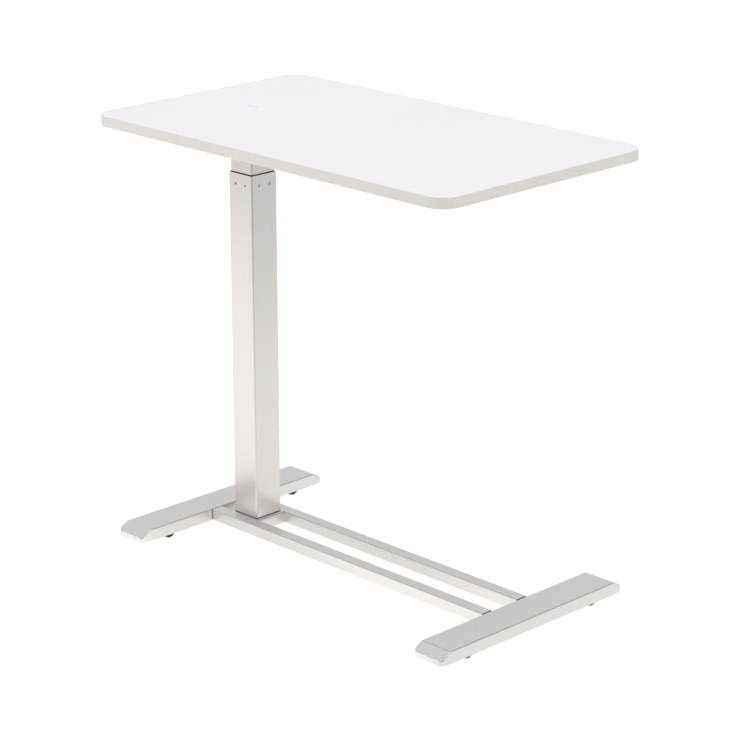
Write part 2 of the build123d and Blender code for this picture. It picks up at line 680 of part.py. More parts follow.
def caster_body(x, y):
    """The swivelling body: a hub round the kingpin, a web between the wheels and a hood."""
    axle_y = y + CASTER_TRAIL
    hood_inside = WHEEL_RADIUS + 0.6
    hood_outside = WHEEL_RADIUS + 2.0
    hood_half = WHEEL_INNER_FACE + WHEEL_WIDTH + 0.2
    hood_bottom = WHEEL_RADIUS + 6.5
    rear_y = axle_y + 11.5
    far = 20
    web_half = WHEEL_INNER_FACE - 0.4
    web_front = y - 1
    ring = lying_x(x - hood_half, axle_y, WHEEL_RADIUS, hood_outside, 2 * hood_half)
    ring -= lying_x(x - hood_half, axle_y, WHEEL_RADIUS, hood_inside, 2 * hood_half)
    hood = ring & block(x - far, x + far, y - far, rear_y, hood_bottom, FOOT_TOP)
    web = block(x - web_half, x + web_half, web_front, axle_y, WHEEL_RADIUS, CASTER_HUB_TOP - 3)
    web += lying_x(x - web_half, axle_y, WHEEL_RADIUS, 5.0, 2 * web_half)
    disc = lying_x(x - web_half, axle_y, WHEEL_RADIUS, hood_inside + 0.2, 2 * web_half)
    web += disc & block(x - far, x + far, web_front, rear_y, WHEEL_RADIUS, FOOT_TOP)
    hub = upright(x, y, CASTER_HUB_BOTTOM, 5.5, CASTER_HUB_HEIGHT)
    hub += upright(x, y, CASTER_HUB_TOP - 2.6, 12.0, 2.6)
    body = hood + web + hub
    body -= upright(x, y, CASTER_HUB_BOTTOM + 0.5, KINGPIN_RADIUS + SHAFT_GAP, CASTER_HUB_HEIGHT)
    return body - lying_x(x - far, axle_y, WHEEL_RADIUS, AXLE_RADIUS, 2 * far)


def caster_axle(x, y):
    """The axle pin through the web, carrying both wheels."""
    reach = WHEEL_INNER_FACE + WHEEL_WIDTH - 0.4
    return lying_x(x - reach, y + CASTER_TRAIL, WHEEL_RADIUS, AXLE_RADIUS, 2 * reach)


def caster_wheel(x, y, side):
    """One of the twin wheels, with a rounded tread and a dished outer face."""
    start = x + side * WHEEL_INNER_FACE
    lowest = min(start, start + side * WHEEL_WIDTH)
    axle_y = y + CASTER_TRAIL
    wheel = lying_x(lowest, axle_y, WHEEL_RADIUS, WHEEL_RADIUS, WHEEL_WIDTH)
    wheel = fillet(wheel.edges().filter_by(GeomType.CIRCLE), 1.6)
    outer_face = start + side * WHEEL_WIDTH
    dish_depth = 1.0
    dish_start = min(outer_face, outer_face - side * dish_depth)
    dish = lying_x(dish_start, axle_y, WHEEL_RADIUS, 8.5, dish_depth)
    dish -= lying_x(dish_start, axle_y, WHEEL_RADIUS, 4.0, dish_depth)
    bore = lying_x(lowest, axle_y, WHEEL_RADIUS, AXLE_RADIUS + SHAFT_GAP, WHEEL_WIDTH)
    return wheel - dish - bore


CASTERS = {
    "left_front": (-FOOT_CENTRE_X, -CASTER_Y),
    "left_rear": (-FOOT_CENTRE_X, CASTER_Y),
    "right_front": (FOOT_CENTRE_X, -CASTER_Y),
    "right_rear": (FOOT_CENTRE_X, CASTER_Y),
}


# ---------------------------------------------------------------- assembly

def build_base():
    save("left_foot_beam", foot_beam(-1))
    save("right_foot_beam", foot_beam(1))
    save("front_rail", rail(-1))
    save("rear_rail", rail(1))
    save("left_rail_inserts", [rail_insert(-FOOT_INNER_X, -1, 0, sy) for sy in (-1, 1)])
    save("right_rail_collars", [rail_insert(RAIL_END_X, 1, COLLAR_LENGTH, sy) for sy in (-1, 1)])
    wall = FOOT_INNER_X + FOOT_WALL
    save("rail_bolts", [rail_bolt(side * wall, side, sy) for side, sy in side_signs()])
    save("column_seat", column_seat())
    save("column_foot_plate", column_foot_plate())
    save("column_bolts", [column_bolt(x, y) for x, y in column_bolt_places()])
    save("caster_plates", [caster_plate(x, y) for x, y in CASTERS.values()])
    save("caster_nuts", [nut for x, y in CASTERS.values() for nut in caster_nuts(x, y)])


def build_column():
    save("outer_column_tube", outer_column_tube())
    save("upper_guide_bush", upper_guide_bush())
    save("guide_bush_pegs", guide_bush_pegs())
    save("inner_column_tube", inner_column_tube())
    save("lower_glide_shoe", lower_glide_shoe())


def build_gas_spring():
    save("gas_spring_cylinder", gas_spring_cylinder())
    save("gas_spring_nut", gas_spring_nut())
    save("gas_spring_gland", gas_spring_gland())
    save("gas_spring_rod", gas_spring_rod())
    save("gas_spring_piston", gas_spring_piston())
    save("piston_seal", piston_seal())
    save("release_head", release_head())
    save("rod_lock_nut", rod_lock_nut())
    save("release_head_screws", [head_screw(x, y) for x, y in head_screw_places()])
    save("release_pin", release_pin())


def build_top():
    save("mounting_plate", mounting_plate())
    save("front_support_arm", support_arm(-1))
    save("rear_support_arm", support_arm(1))
    ends = ((ARM_BACK_X, -1), (ARM_FRONT_X, 1))
    save("support_arm_caps", [arm_cap(x, direction, sy) for x, direction in ends for sy in (-1, 1)])
    save("plate_bolts", [plate_bolt(x, y) for x, y in plate_bolt_places()])
    save("plate_nuts", [plate_nut(x, y) for x, y in plate_bolt_places()])
    save("panel_screws", [panel_screw(x, y) for x, y in panel_screw_places()])
    save("tabletop_panel", tabletop_panel())
    save("edge_band", edge_band())
    save("lever_bracket", lever_bracket())
    save("lever_pivot_pin", lever_pivot_pin())
    save("release_lever", release_lever())
    save("lever_grip", lever_grip())


def build_casters():
    for name, (x, y) in CASTERS.items():
        save(f"{name}_caster_body", caster_body(x, y))
        save(f"{name}_caster_axle", caster_axle(x, y))
        save(f"{name}_caster_wheel_a", caster_wheel(x, y, -1))
        save(f"{name}_caster_wheel_b", caster_wheel(x, y, 1))


os.makedirs("parts", exist_ok=True)
build_base()
build_column()
build_gas_spring()
build_top()
build_casters()
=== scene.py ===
import json
import math

import bmesh
import bpy
from mathutils import Matrix, Vector


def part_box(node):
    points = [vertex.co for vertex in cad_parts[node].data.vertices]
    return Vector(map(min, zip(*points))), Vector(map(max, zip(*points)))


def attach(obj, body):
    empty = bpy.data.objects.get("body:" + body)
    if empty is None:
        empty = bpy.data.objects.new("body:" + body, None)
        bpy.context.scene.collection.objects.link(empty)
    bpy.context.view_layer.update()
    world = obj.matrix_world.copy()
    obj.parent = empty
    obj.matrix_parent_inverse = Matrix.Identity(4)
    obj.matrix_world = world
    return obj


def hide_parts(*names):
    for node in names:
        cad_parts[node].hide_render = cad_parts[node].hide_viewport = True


# Looks of the overbed table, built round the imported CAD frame. Metres, +Z up.

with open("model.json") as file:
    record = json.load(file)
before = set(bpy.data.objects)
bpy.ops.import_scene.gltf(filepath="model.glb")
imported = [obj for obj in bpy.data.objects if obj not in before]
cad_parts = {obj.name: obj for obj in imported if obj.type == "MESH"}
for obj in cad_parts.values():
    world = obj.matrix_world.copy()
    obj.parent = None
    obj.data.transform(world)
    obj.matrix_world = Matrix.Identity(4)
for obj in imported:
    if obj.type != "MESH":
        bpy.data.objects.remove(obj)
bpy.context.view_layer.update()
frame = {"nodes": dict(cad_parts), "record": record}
MM = 0.001
TOP_RADIUS = 35 * MM
TOP_SEGMENTS = 16


# ---- places from the frame

def middle(node):
    """The middle of a CAD node's box."""
    low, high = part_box(node)
    return (low + high) / 2


panel_low, panel_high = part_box("tabletop_panel")
band_low, band_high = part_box("edge_band")
outer_low, outer_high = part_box("outer_column_tube")
inner_low, inner_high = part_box("inner_column_tube")
column = middle("outer_column_tube")


# ---- material nodes

def new_material(name):
    """A node material with its Principled shader, node tree and object coordinates."""
    material = bpy.data.materials.new(name)
    material.use_nodes = True
    tree = material.node_tree
    shader = next(n for n in tree.nodes if n.type == "BSDF_PRINCIPLED")
    coordinates = tree.nodes.new("ShaderNodeTexCoord")
    return material, tree, shader, coordinates.outputs["Object"]


def noise(tree, vector, scale, detail=3.0, roughness=0.5, stretch=(1, 1, 1)):
    """A noise value, its pattern drawn out along the axes whose stretch is small."""
    mapping = tree.nodes.new("ShaderNodeMapping")
    mapping.inputs["Scale"].default_value = stretch
    tree.links.new(vector, mapping.inputs["Vector"])
    texture = tree.nodes.new("ShaderNodeTexNoise")
    texture.inputs["Scale"].default_value = scale
    texture.inputs["Detail"].default_value = detail
    texture.inputs["Roughness"].default_value = roughness
    tree.links.new(mapping.outputs["Vector"], texture.inputs["Vector"])
    return texture.outputs["Fac"]


def spread(tree, value, low, high, start=0.3, end=0.7):
    """The value, from start to end, spread over low to high."""
    node = tree.nodes.new("ShaderNodeMapRange")
    node.inputs["From Min"].default_value = start
    node.inputs["From Max"].default_value = end
    node.inputs["To Min"].default_value = low
    node.inputs["To Max"].default_value = high
    tree.links.new(value, node.inputs["Value"])
    return node.outputs["Result"]


def blend_colours(tree, factor, first, second):
    """A mix of two colours, each a fixed colour or another node's output."""
    node = tree.nodes.new("ShaderNodeMix")
    node.data_type = "RGBA"
    tree.links.new(factor, node.inputs["Factor"])
    for socket, colour in ((node.inputs[6], first), (node.inputs[7], second)):
        if isinstance(colour, tuple):
            socket.default_value = (*colour, 1.0)
        else:
            tree.links.new(colour, socket)
    return node.outputs[2]


def math_value(tree, operation, *inputs):
    """The result of a math node on numbers and other nodes' outputs."""
    node = tree.nodes.new("ShaderNodeMath")
    node.operation = operation
    for socket, value in zip(node.inputs, inputs):
        if isinstance(value, float):
            socket.default_value = value
        else:
            tree.links.new(value, socket)
    return node.outputs["Value"]


def add_values(tree, first, second, weight):
    """first + weight * second."""
    return math_value(tree, "MULTIPLY_ADD", second, weight, first)


def multiply_values(tree, first, second):
    """first * second."""
    return math_value(tree, "MULTIPLY", first, second)


def vector_value(tree, operation, vector, fixed):
    """The dot product or distance between a vector and a fixed one."""
    node = tree.nodes.new("ShaderNodeVectorMath")
    node.operation = operation
    node.inputs[1].default_value = fixed
    tree.links.new(vector, node.inputs[0])
    return node.outputs["Value"]


def bump(tree, shader, height, strength, distance):
    """Connects a bump of that height, in metres, to the shader's normal."""
    node = tree.nodes.new("ShaderNodeBump")
    node.inputs["Strength"].default_value = strength
    node.inputs["Distance"].default_value = distance
    tree.links.new(height, node.inputs["Height"])
    tree.links.new(node.outputs["Normal"], shader.inputs["Normal"])


def rounding(tree, first, second):
    """0 on flat faces, 0.7 on the rounded edges between faces along two of the axes."""
    coordinates = tree.nodes.new("ShaderNodeTexCoord")
    size = tree.nodes.new("ShaderNodeVectorMath")
    size.operation = "ABSOLUTE"
    tree.links.new(coordinates.outputs["Normal"], size.inputs[0])
    parts = tree.nodes.new("ShaderNodeSeparateXYZ")
    tree.links.new(size.outputs["Vector"], parts.inputs["Vector"])
    return math_value(tree, "MINIMUM", parts.outputs[first], parts.outputs[second])


SILVER_LIGHT = (0.745, 0.711, 0.683)
SILVER_DARK = (0.732, 0.699, 0.671)


def satin_metal(name, along):
    """Satin champagne-silver metal, finely brushed along one axis, with painted shade darkening its
    long rounded edges.
    """
    material, tree, shader, place = new_material(name)
    across = tuple(0.01 if axis == along else 1.0 for axis in "xyz")
    streaks = noise(tree, place, 2600.0, 2.0, 0.5, across)
    grain = noise(tree, place, 3200.0, 2.0, 0.6)
    clouds = noise(tree, place, 9.0, 3.0, 0.5)
    tone = add_values(tree, streaks, grain, 0.4)
    streaked = spread(tree, tone, 0.0, 1.0, 0.45, 0.95)
    colour = blend_colours(tree, streaked, SILVER_DARK, SILVER_LIGHT)
    cloudy = tuple(0.99 * c for c in SILVER_LIGHT)
    colour = blend_colours(tree, spread(tree, clouds, 0.0, 0.35), colour, cloudy)
    # Painted shade: the rounded edges along the axis get a darker colour, standing in for the dark
    # reflection the corners catch.
    edge = rounding(tree, *{"x": "YZ", "y": "XZ", "z": "XY"}[along])
    painted_edge_shade = tuple(0.85 * c for c in SILVER_DARK)
    colour = blend_colours(tree, spread(tree, edge, 0.0, 1.0, 0.12, 0.45), colour, painted_edge_shade)
    tree.links.new(colour, shader.inputs["Base Color"])
    tree.links.new(spread(tree, tone, 0.26, 0.31, 0.4, 1.0), shader.inputs["Roughness"])
    shader.inputs["Metallic"].default_value = 0.80
    bump(tree, shader, tone, 0.03, 0.00004)
    return material


def moulded_plastic(name, colour, roughness, grain_scale, grain_depth, variation=0.12):
    """Moulded plastic or rubber with a fine spark-eroded grain."""
    material, tree, shader, place = new_material(name)
    grain = noise(tree, place, grain_scale, 2.0, 0.6)
    clouds = noise(tree, place, 35.0, 3.0, 0.6)
    darker = tuple(c * (1.0 - variation) for c in colour)
    lighter = tuple(min(1.0, c * (1.0 + variation)) for c in colour)
    mixed = blend_colours(tree, spread(tree, clouds, 0, 1), darker, lighter)
    tree.links.new(mixed, shader.inputs["Base Color"])
    tree.links.new(spread(tree, grain, roughness - 0.06, roughness + 0.08), shader.inputs["Roughness"])
    bump(tree, shader, grain, 0.35, grain_depth)
    return material


def bare_metal(name, colour, roughness, along=None, metallic=1.0, wear=0.06):
    """Plated, polished or cast metal, turned or drawn along an axis if one is given."""
    material, tree, shader, place = new_material(name)
    across = tuple(0.02 if axis == along else 1.0 for axis in "xyz")
    lines = noise(tree, place, 1500.0, 2.0, 0.5, across)
    clouds = noise(tree, place, 60.0, 3.0, 0.6)
    darker = tuple(c * (1.0 - 2 * wear) for c in colour)
    mixed = blend_colours(tree, spread(tree, clouds, 0, 1), darker, colour)
    tree.links.new(mixed, shader.inputs["Base Color"])
    tree.links.new(spread(tree, lines, roughness - wear, roughness + wear), shader.inputs["Roughness"])
    shader.inputs["Metallic"].default_value = metallic
    bump(tree, shader, lines, 0.15, 0.00006)
    return material


DOT_RADIUS = 2.2 * MM
DOT_GREY = (0.60, 0.595, 0.61)
DOTS = [(-0.254 + step * 0.010, -0.006, panel_high.z) for step in (-1, 0, 1)]


def laminate(name, light, dark, roughness):
    """White melamine: a faint pearl grain, slight clouding, and three small grey dots."""
    material, tree, shader, place = new_material(name)
    grain = noise(tree, place, 520.0, 3.0, 0.65)
    pores = noise(tree, place, 320.0, 2.0, 0.5, (0.35, 1.0, 1.0))
    clouds = noise(tree, place, 3.0, 2.0, 0.5)
    tone = add_values(tree, grain, pores, 0.6)
    colour = blend_colours(tree, spread(tree, tone, 0.0, 1.0, 0.45, 1.15), dark, light)
    colour = blend_colours(tree, spread(tree, clouds, 0.0, 0.5), colour, light)
    for centre in DOTS:
        distance = vector_value(tree, "DISTANCE", place, centre)
        inside = spread(tree, distance, 1.0, 0.0, DOT_RADIUS, DOT_RADIUS + 0.3 * MM)
        colour = blend_colours(tree, inside, colour, DOT_GREY)
    tree.links.new(colour, shader.inputs["Base Color"])
    sheen = spread(tree, tone, roughness - 0.05, roughness + 0.08, 0.5, 1.1)
    tree.links.new(sheen, shader.inputs["Roughness"])
    shader.inputs["Specular IOR Level"].default_value = 0.4
    bump(tree, shader, tone, 0.12, 0.00005)
    return material


silver_x = satin_metal("silver_drawn_x", "x")
silver_y = satin_metal("silver_drawn_y", "y")
silver_z = satin_metal("silver_drawn_z", "z")
white_top = laminate("white_laminate", (0.876, 0.842, 0.844), (0.806, 0.775, 0.777), 0.42)
band_plastic = moulded_plastic("edge_band", (0.865, 0.810, 0.752), 0.45, 900.0, 0.00004, 0.02)
dark_plastic = moulded_plastic("dark_plastic", (0.030, 0.030, 0.031), 0.48, 1600.0, 0.00008)
grey_plastic = moulded_plastic("peg_plastic", (0.50, 0.49, 0.48), 0.45, 1600.0, 0.00005, 0.05)
black_plastic = moulded_plastic("black_plastic", (0.012, 0.012, 0.012), 0.60, 1600.0, 0.00005)
tyre_rubber = moulded_plastic("wheel_rubber", (0.020, 0.020, 0.021), 0.62, 1100.0, 0.0001)
seal_rubber = moulded_plastic("seal_rubber", (0.016, 0.016, 0.017), 0.40, 2000.0, 0.00003)
black_paint = bare_metal("black_paint", (0.030, 0.030, 0.033), 0.42, None, 0.0, 0.05)
zinc = bare_metal("zinc_plate", (0.62, 0.62, 0.60), 0.32, None, 1.0, 0.08)
chrome = bare_metal("chrome_rod", (0.80, 0.80, 0.81), 0.10, "z", 1.0, 0.03)
cast_alloy = bare_metal("cast_alloy", (0.60, 0.60, 0.61), 0.45, None, 1.0, 0.08)


# ---- mesh building

SHARP_ANGLE = math.radians(35.0)


def make_piece(name, bm, material, body, replaced=()):
    """Turns a bmesh into a finished piece that rides on a body."""
    bmesh.ops.remove_doubles(bm, verts=bm.verts, dist=1e-7)
    bmesh.ops.recalc_face_normals(bm, faces=bm.faces)
    mesh = bpy.data.meshes.new(name)
    bm.to_mesh(mesh)
    bm.free()
    for polygon in mesh.polygons:
        polygon.use_smooth = True
    mesh.set_sharp_from_angle(angle=SHARP_ANGLE)
    piece = bpy.data.objects.new(name, mesh)
    bpy.context.scene.collection.objects.link(piece)
    piece.data.materials.append(material)
    piece.modifiers.new("even_normals", "WEIGHTED_NORMAL").keep_sharp = True
    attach(piece, body)
    if replaced:
        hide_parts(*replaced)
    return piece


# The small radius that closes a lathe's profile on its axis.
ON_AXIS = 0.1 * MM


def rounded_rectangle(width, height, radius, segments=8):
    """Points round a rectangle with arcs at its corners, anticlockwise, about the origin."""
    points = []
    radius = max(radius, 1e-5)
    corners = ((1, 1, 0), (-1, 1, 90), (-1, -1, 180), (1, -1, 270))
    for sx, sy, start in corners:
        cx = sx * (width / 2 - radius)
        cy = sy * (height / 2 - radius)
        for step in range(segments + 1):
            angle = math.radians(start + 90.0 * step / segments)
            points.append((cx + radius * math.cos(angle), cy + radius * math.sin(angle)))
    return points


def rectangle_at(x, y, *shape):
    """A rounded rectangle's points about a place."""
    return [(x + px, y + py) for px, py in rounded_rectangle(*shape)]


def add_ring(bm, points):
    """New vertices at the points."""
    return [bm.verts.new(p) for p in points]


def join_rings(bm, first, second):
    """Quads between two rings with the same number of points."""
    count = len(first)
    for i in range(count):
        j = (i + 1) % count
        bm.faces.new((first[i], first[j], second[j], second[i]))


def skin(bm, rings, closed=False):
    """A skin over a row of rings, capped, or closed back to the first ring."""
    made = [add_ring(bm, ring) for ring in rings]
    for first, second in zip(made, made[1:]):
        join_rings(bm, first, second)
    if closed:
        join_rings(bm, made[-1], made[0])
    else:
        bm.faces.new(list(reversed(made[0])))
        bm.faces.new(made[-1])


def ring_z(x, y, z, width, depth, radius, segments=8):
    """A rounded rectangle lying flat at height z."""
    return [Vector((*point, z)) for point in rectangle_at(x, y, width, depth, radius, segments)]


def ring_x(x, y, z, width, height, radius, segments=6):
    """A rounded rectangle standing across the X axis."""
    return [Vector((x, *point)) for point in rectangle_at(y, z, width, height, radius, segments)]


def skin_x(bm, y, z, stations, closed=False):
    """A skin along X through stations of x, width, height and corner radius."""
    skin(bm, [ring_x(x, y, z, *shape) for x, *shape in stations], closed=closed)


def lathe_mm(bm, centre, axis, profile, segments=48):
    """A lathe with its profile in millimetres."""
    lathe(bm, centre, axis, [(along * MM, radius * MM) for along, radius in profile], segments)


def slab_rings(low, high, radius, bevel, steps):
    """Rings of a flat slab between two corners, its top and bottom rims rounded."""
    size = high - low
    centre = (low + high) / 2
    rings = []
    for level, sign in ((low.z, 1), (high.z, -1)):
        order = range(steps + 1) if sign > 0 else range(steps, -1, -1)
        for step in order:
            angle = math.radians(90.0 * step / steps)
            inset = bevel * (1 - math.sin(angle))
            z = level + sign * bevel * (1 - math.cos(angle))
            reach = (size.x - 2 * inset, size.y - 2 * inset)
            rings.append(ring_z(centre.x, centre.y, z, *reach, radius - inset, TOP_SEGMENTS))
    return rings


def lathe(bm, centre, axis, profile, segments=48):
    """Revolves (along, radius) points about an axis. A looped profile ends where it began."""
    direction = Vector(axis).normalized()
    turn = direction.to_track_quat("Z", "Y").to_matrix()
    rings = []
    for along, radius in profile:
        ring = []
        for step in range(segments):
            angle = 2 * math.pi * step / segments
            local = Vector((radius * math.cos(angle), radius * math.sin(angle), along))
            ring.append(Vector(centre) + turn @ local)
        rings.append(ring)
    if profile[0] == profile[-1]:
        skin(bm, rings[:-1], closed=True)
    else:
        skin(bm, rings)


def soften(bm, edges, width, steps):
    """Rounds edges of a bmesh."""
    bmesh.ops.bevel(
        bm, geom=edges, offset=width, offset_type="OFFSET", segments=steps,
        profile=0.5, affect="EDGES", clamp_overlap=True,
    )


def upright_axes(a, b, c):
    """An outline in X and Y that runs along Z."""
    return (a, b, c)


def sideways_axes(a, b, c):
    """An outline in Y and Z that runs along X."""
    return (c, a, b)


def across_axes(a, b, c):
    """An outline in X and Z that runs along Y."""
    return (a, c, b)


def prism(bm, outline, start, end, rim, steps=3, axes=upright_axes):
    """An outline carried from start to end, with rounded rims."""
    lower = add_ring(bm, [axes(a, b, start) for a, b in outline])
    upper = add_ring(bm, [axes(a, b, end) for a, b in outline])
    join_rings(bm, lower, upper)
    bm.faces.new(list(reversed(lower)))
    bm.faces.new(upper)
    pairs = [pair for ring in (lower, upper) for pair in zip(ring, ring[1:] + ring[:1])]
    soften(bm, [bm.edges.get(pair) for pair in pairs], rim, steps)


def add_shape(bm, single, place):
    """Adds one bmesh to another, moved to its place, and frees it."""
    bmesh.ops.transform(single, matrix=place, verts=single.verts)
    mesh = bpy.data.meshes.new("single")
    single.to_mesh(mesh)
    single.free()
    bm.from_mesh(mesh)
    bpy.data.meshes.remove(mesh)


def cut(piece, cutters):
    """Cuts the shapes of a bmesh out of a piece."""
    bmesh.ops.recalc_face_normals(cutters, faces=cutters.faces)
    mesh = bpy.data.meshes.new("cutter")
    cutters.to_mesh(mesh)
    cutters.free()
    cutter = bpy.data.objects.new("cutter", mesh)
    bpy.context.scene.collection.objects.link(cutter)
    modifier = piece.modifiers.new("holes", "BOOLEAN")
    modifier.object = cutter
    modifier.solver = "EXACT"
    shape = piece.evaluated_get(bpy.context.evaluated_depsgraph_get())
    result = bpy.data.meshes.new_from_object(shape)
    piece.modifiers.clear()
    piece.data = result
    bpy.data.objects.remove(cutter)
    result.set_sharp_from_angle(angle=SHARP_ANGLE)
    piece.modifiers.new("even_normals", "WEIGHTED_NORMAL").keep_sharp = True


# ---- tabletop

def tabletop():
    """The laminated board, with a hairline step down to its band."""
    bm = bmesh.new()
    radius = TOP_RADIUS - (band_high.x - panel_high.x)
    skin(bm, slab_rings(panel_low, panel_high, radius, 0.25 * MM, 2))
    make_piece("tabletop", bm, white_top, "top", ["tabletop_panel"])


def edge_band():
    """The plastic band: a flat face with softened rims, glued round the board."""
    bm = bmesh.new()
    size = band_high - band_low
    centre = (band_low + band_high) / 2
    outer = slab_rings(band_low, band_high, TOP_RADIUS, 1.0 * MM, 4)
    wall = band_high.x - panel_high.x
    seam = 0.12 * MM
    inside = (size.x - 2 * wall + seam, size.y - 2 * wall + seam, TOP_RADIUS - wall)
    inner = [
        ring_z(centre.x, centre.y, z, *inside, TOP_SEGMENTS)
        for z in (band_high.z, band_high.z - 0.2 * MM, band_low.z + 0.2 * MM, band_low.z)
    ]
    skin(bm, outer + inner, closed=True)
    make_piece("edge_band_strip", bm, band_plastic, "top", ["edge_band"])


# ---- base

CORNERS = ("left_front", "left_rear", "right_front", "right_rear")
CASTER_TRAIL = 10.0 * MM
STUD_BOTTOM = 28.4 * MM
STUD_RADIUS = 2.0 * MM
STUD_ACROSS = 17.0 * MM
STUD_ALONG = 15.0 * MM
FOOT_CORNER = 8.0 * MM
FOOT_WALL = 2.0 * MM
FOOT_END_WALL = 8.5 * MM
FOOT_TOP_HALF = 193.5 * MM
FOOT_EDGE = 2.6 * MM
RAIL_CORNER = 1.5 * MM
RAIL_WALL = 1.5 * MM
RAIL_GROOVE = 1.4 * MM
SEAT_WALL = 3.0 * MM


def foot_shell(bm, low, high, inset, edge):
    """One skin of a pressed foot, open below: returns its lower ring."""
    middle_x = (low.x + high.x) / 2
    width = high.x - low.x - 2 * inset
    half = (high.y - low.y) / 2 - inset
    crease = FOOT_TOP_HALF - inset / 2
    end_height = low.z + FOOT_END_WALL - inset / 2
    top = high.z - inset
    slope = (top - end_height) / (half - crease)
    points = rounded_rectangle(width, 2 * half, FOOT_CORNER - inset, 8)
    side = width / 2
    left_rear = len(points) // 2
    left_front, right_front, right_rear = left_rear + 1, 2 * left_rear + 2, 2 * left_rear + 3
    points[left_rear:left_rear] = [(-side, crease), (-side, -crease)]
    points += [(side, -crease), (side, crease)]
    lower = add_ring(bm, [(middle_x + x, y, low.z) for x, y in points])
    heights = [min(top, end_height + (half - abs(y)) * slope) for x, y in points]
    upper = add_ring(bm, [(middle_x + x, y, z) for (x, y), z in zip(points, heights)])
    join_rings(bm, lower, upper)
    rear, front = (upper[left_rear], upper[right_rear]), (upper[left_front], upper[right_front])
    bm.faces.new([upper[right_rear]] + upper[:left_front])
    bm.faces.new([rear[0], front[0], front[1], rear[1]])
    bm.faces.new(upper[left_front:right_rear])
    pairs = list(zip(upper, upper[1:] + upper[:1])) + [rear, front]
    soften(bm, [bm.edges.get(pair) for pair in pairs], edge, 4)
    return lower


def stud_places(side):
    """The two studs of each caster of a foot."""
    places = []
    for end in ("front", "rear"):
        low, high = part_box(f"{side}_{end}_caster_axle")
        x = (low.x + high.x) / 2
        y = (low.y + high.y) / 2 - CASTER_TRAIL
        places += [(x + sign * STUD_ACROSS, y + sign * STUD_ALONG) for sign in (-1, 1)]
    return places


def threaded_stud(bm, x, y, z0, z1, radius, pitch):
    """A short upright stud with a fine thread."""
    turns = int((z1 - z0) / pitch)
    profile = [(z0, 0.3 * radius), (z0, radius - pitch / 2)]
    for turn in range(turns):
        start = z0 + pitch * (turn + 0.3)
        profile += [(start, radius), (start + pitch * 0.4, radius - pitch / 2)]
    profile += [(z1, radius), (z1, 0.3 * radius)]
    lathe(bm, (x, y, 0), (0, 0, 1), profile, 24)


def foot(side):
    """A pressed foot with rounded edges, and the weld studs of its casters."""
    bm = bmesh.new()
    low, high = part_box(f"{side}_foot_beam")
    outer = foot_shell(bm, low, high, 0.0, FOOT_EDGE)
    inner = foot_shell(bm, low, high, FOOT_WALL, FOOT_EDGE - FOOT_WALL / 2)
    join_rings(bm, inner, outer)
    rim = [bm.edges.get(pair) for pair in zip(outer, outer[1:] + outer[:1])]
    soften(bm, rim, 0.5 * MM, 2)
    for x, y in stud_places(side):
        threaded_stud(bm, x, y, STUD_BOTTOM, high.z - FOOT_WALL, STUD_RADIUS, 0.45 * MM)
    make_piece(f"{side}_foot", bm, silver_y, "base", [f"{side}_foot_beam"])


def rail(side):
    """A rectangular tube with rounded edges, and a dark groove where it meets the left foot."""
    bm = bmesh.new()
    low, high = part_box(f"{side}_rail")
    y, z = (low.y + high.y) / 2, (low.z + high.z) / 2
    size = Vector((high.y - low.y, high.z - low.z))
    inside = size - Vector((2 * RAIL_WALL, 2 * RAIL_WALL))
    start = low.x + RAIL_GROOVE
    skin_x(bm, y, z, (
        (start, *size, RAIL_CORNER), (high.x - 0.2 * MM, *size, RAIL_CORNER),
        (high.x, size.x - 0.3 * MM, size.y - 0.3 * MM, RAIL_CORNER),
        (high.x, *inside, 0.4 * MM), (start, *inside, 0.4 * MM),
    ), closed=True)
    make_piece(f"{side}_rail_tube", bm, silver_x, "base", [f"{side}_rail"])


def rail_collars():
    """Dark collars that close the rails at the right foot."""
    low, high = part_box("right_rail_collars")
    rails_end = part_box("front_rail")[1].x
    height = high.z - low.z
    bm = bmesh.new()
    for node in ("front_rail", "rear_rail"):
        rail_low, rail_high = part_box(node)
        y, z = (rail_low.y + rail_high.y) / 2, (rail_low.z + rail_high.z) / 2
        width = high.y - low.y - 2 * abs(y)
        core = rail_high - rail_low - Vector((0, 2 * RAIL_WALL, 2 * RAIL_WALL))
        stations = [
            (low.x, core.y - MM, core.z - MM, 0.4 * MM),
            (low.x + MM, core.y, core.z, 0.4 * MM), (rails_end, core.y, core.z, 0.4 * MM),
        ]
        for share, groove in ((0.0, 0.0), (0.4, 0.0), (0.5, 0.5 * MM), (0.6, 0.0), (1.0, 0.0)):
            x = rails_end + share * (high.x - rails_end)
            stations.append((x, width - groove, height - groove, RAIL_CORNER))
        skin_x(bm, y, z, stations)
    make_piece("rail_collars", bm, dark_plastic, "base", ["right_rail_collars"])


def seat():
    """The folded channel between the rails, with rounded folds."""
    low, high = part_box("column_seat")
    fold = 3.5 * MM
    outline = folded_outline(low.x, high.x, low.z, high.z, SEAT_WALL, fold)
    bm = bmesh.new()
    skin(bm, [[Vector((x, y, z)) for x, z in outline] for y in (low.y, high.y)])
    make_piece("seat_channel", bm, silver_y, "base", ["column_seat"])


def folded_outline(x0, x1, z0, z1, wall, fold):
    """The side view of an inverted channel folded from plate."""
    steps = 6
    outer = []
    inner = []
    for corner_x, start in ((x1 - fold, 0.0), (x0 + fold, 90.0)):
        for step in range(steps + 1):
            angle = math.radians(start + 90.0 * step / steps)
            outer.append((corner_x + fold * math.cos(angle), z1 - fold + fold * math.sin(angle)))
            inside = fold - wall
            inner.append((corner_x + inside * math.cos(angle), z1 - fold + inside * math.sin(angle)))
    return [(x1, z0)] + outer + [(x0, z0), (x0 + wall, z0)] + inner[::-1] + [(x1 - wall, z0)]


# ---- column

OUTER_CORNER = 3.0 * MM
INNER_CORNER = 2.5 * MM
TUBE_WALL = 1.5 * MM
PEG_HOLE = 2.3 * MM
PEG_SUNK = 0.9 * MM
PEG_OFFSET = 12.0 * MM
# Height of the black strip at the column's foot, painted shade for the joint with its seat.
SHADE_STRIP_HEIGHT = 1.0 * MM


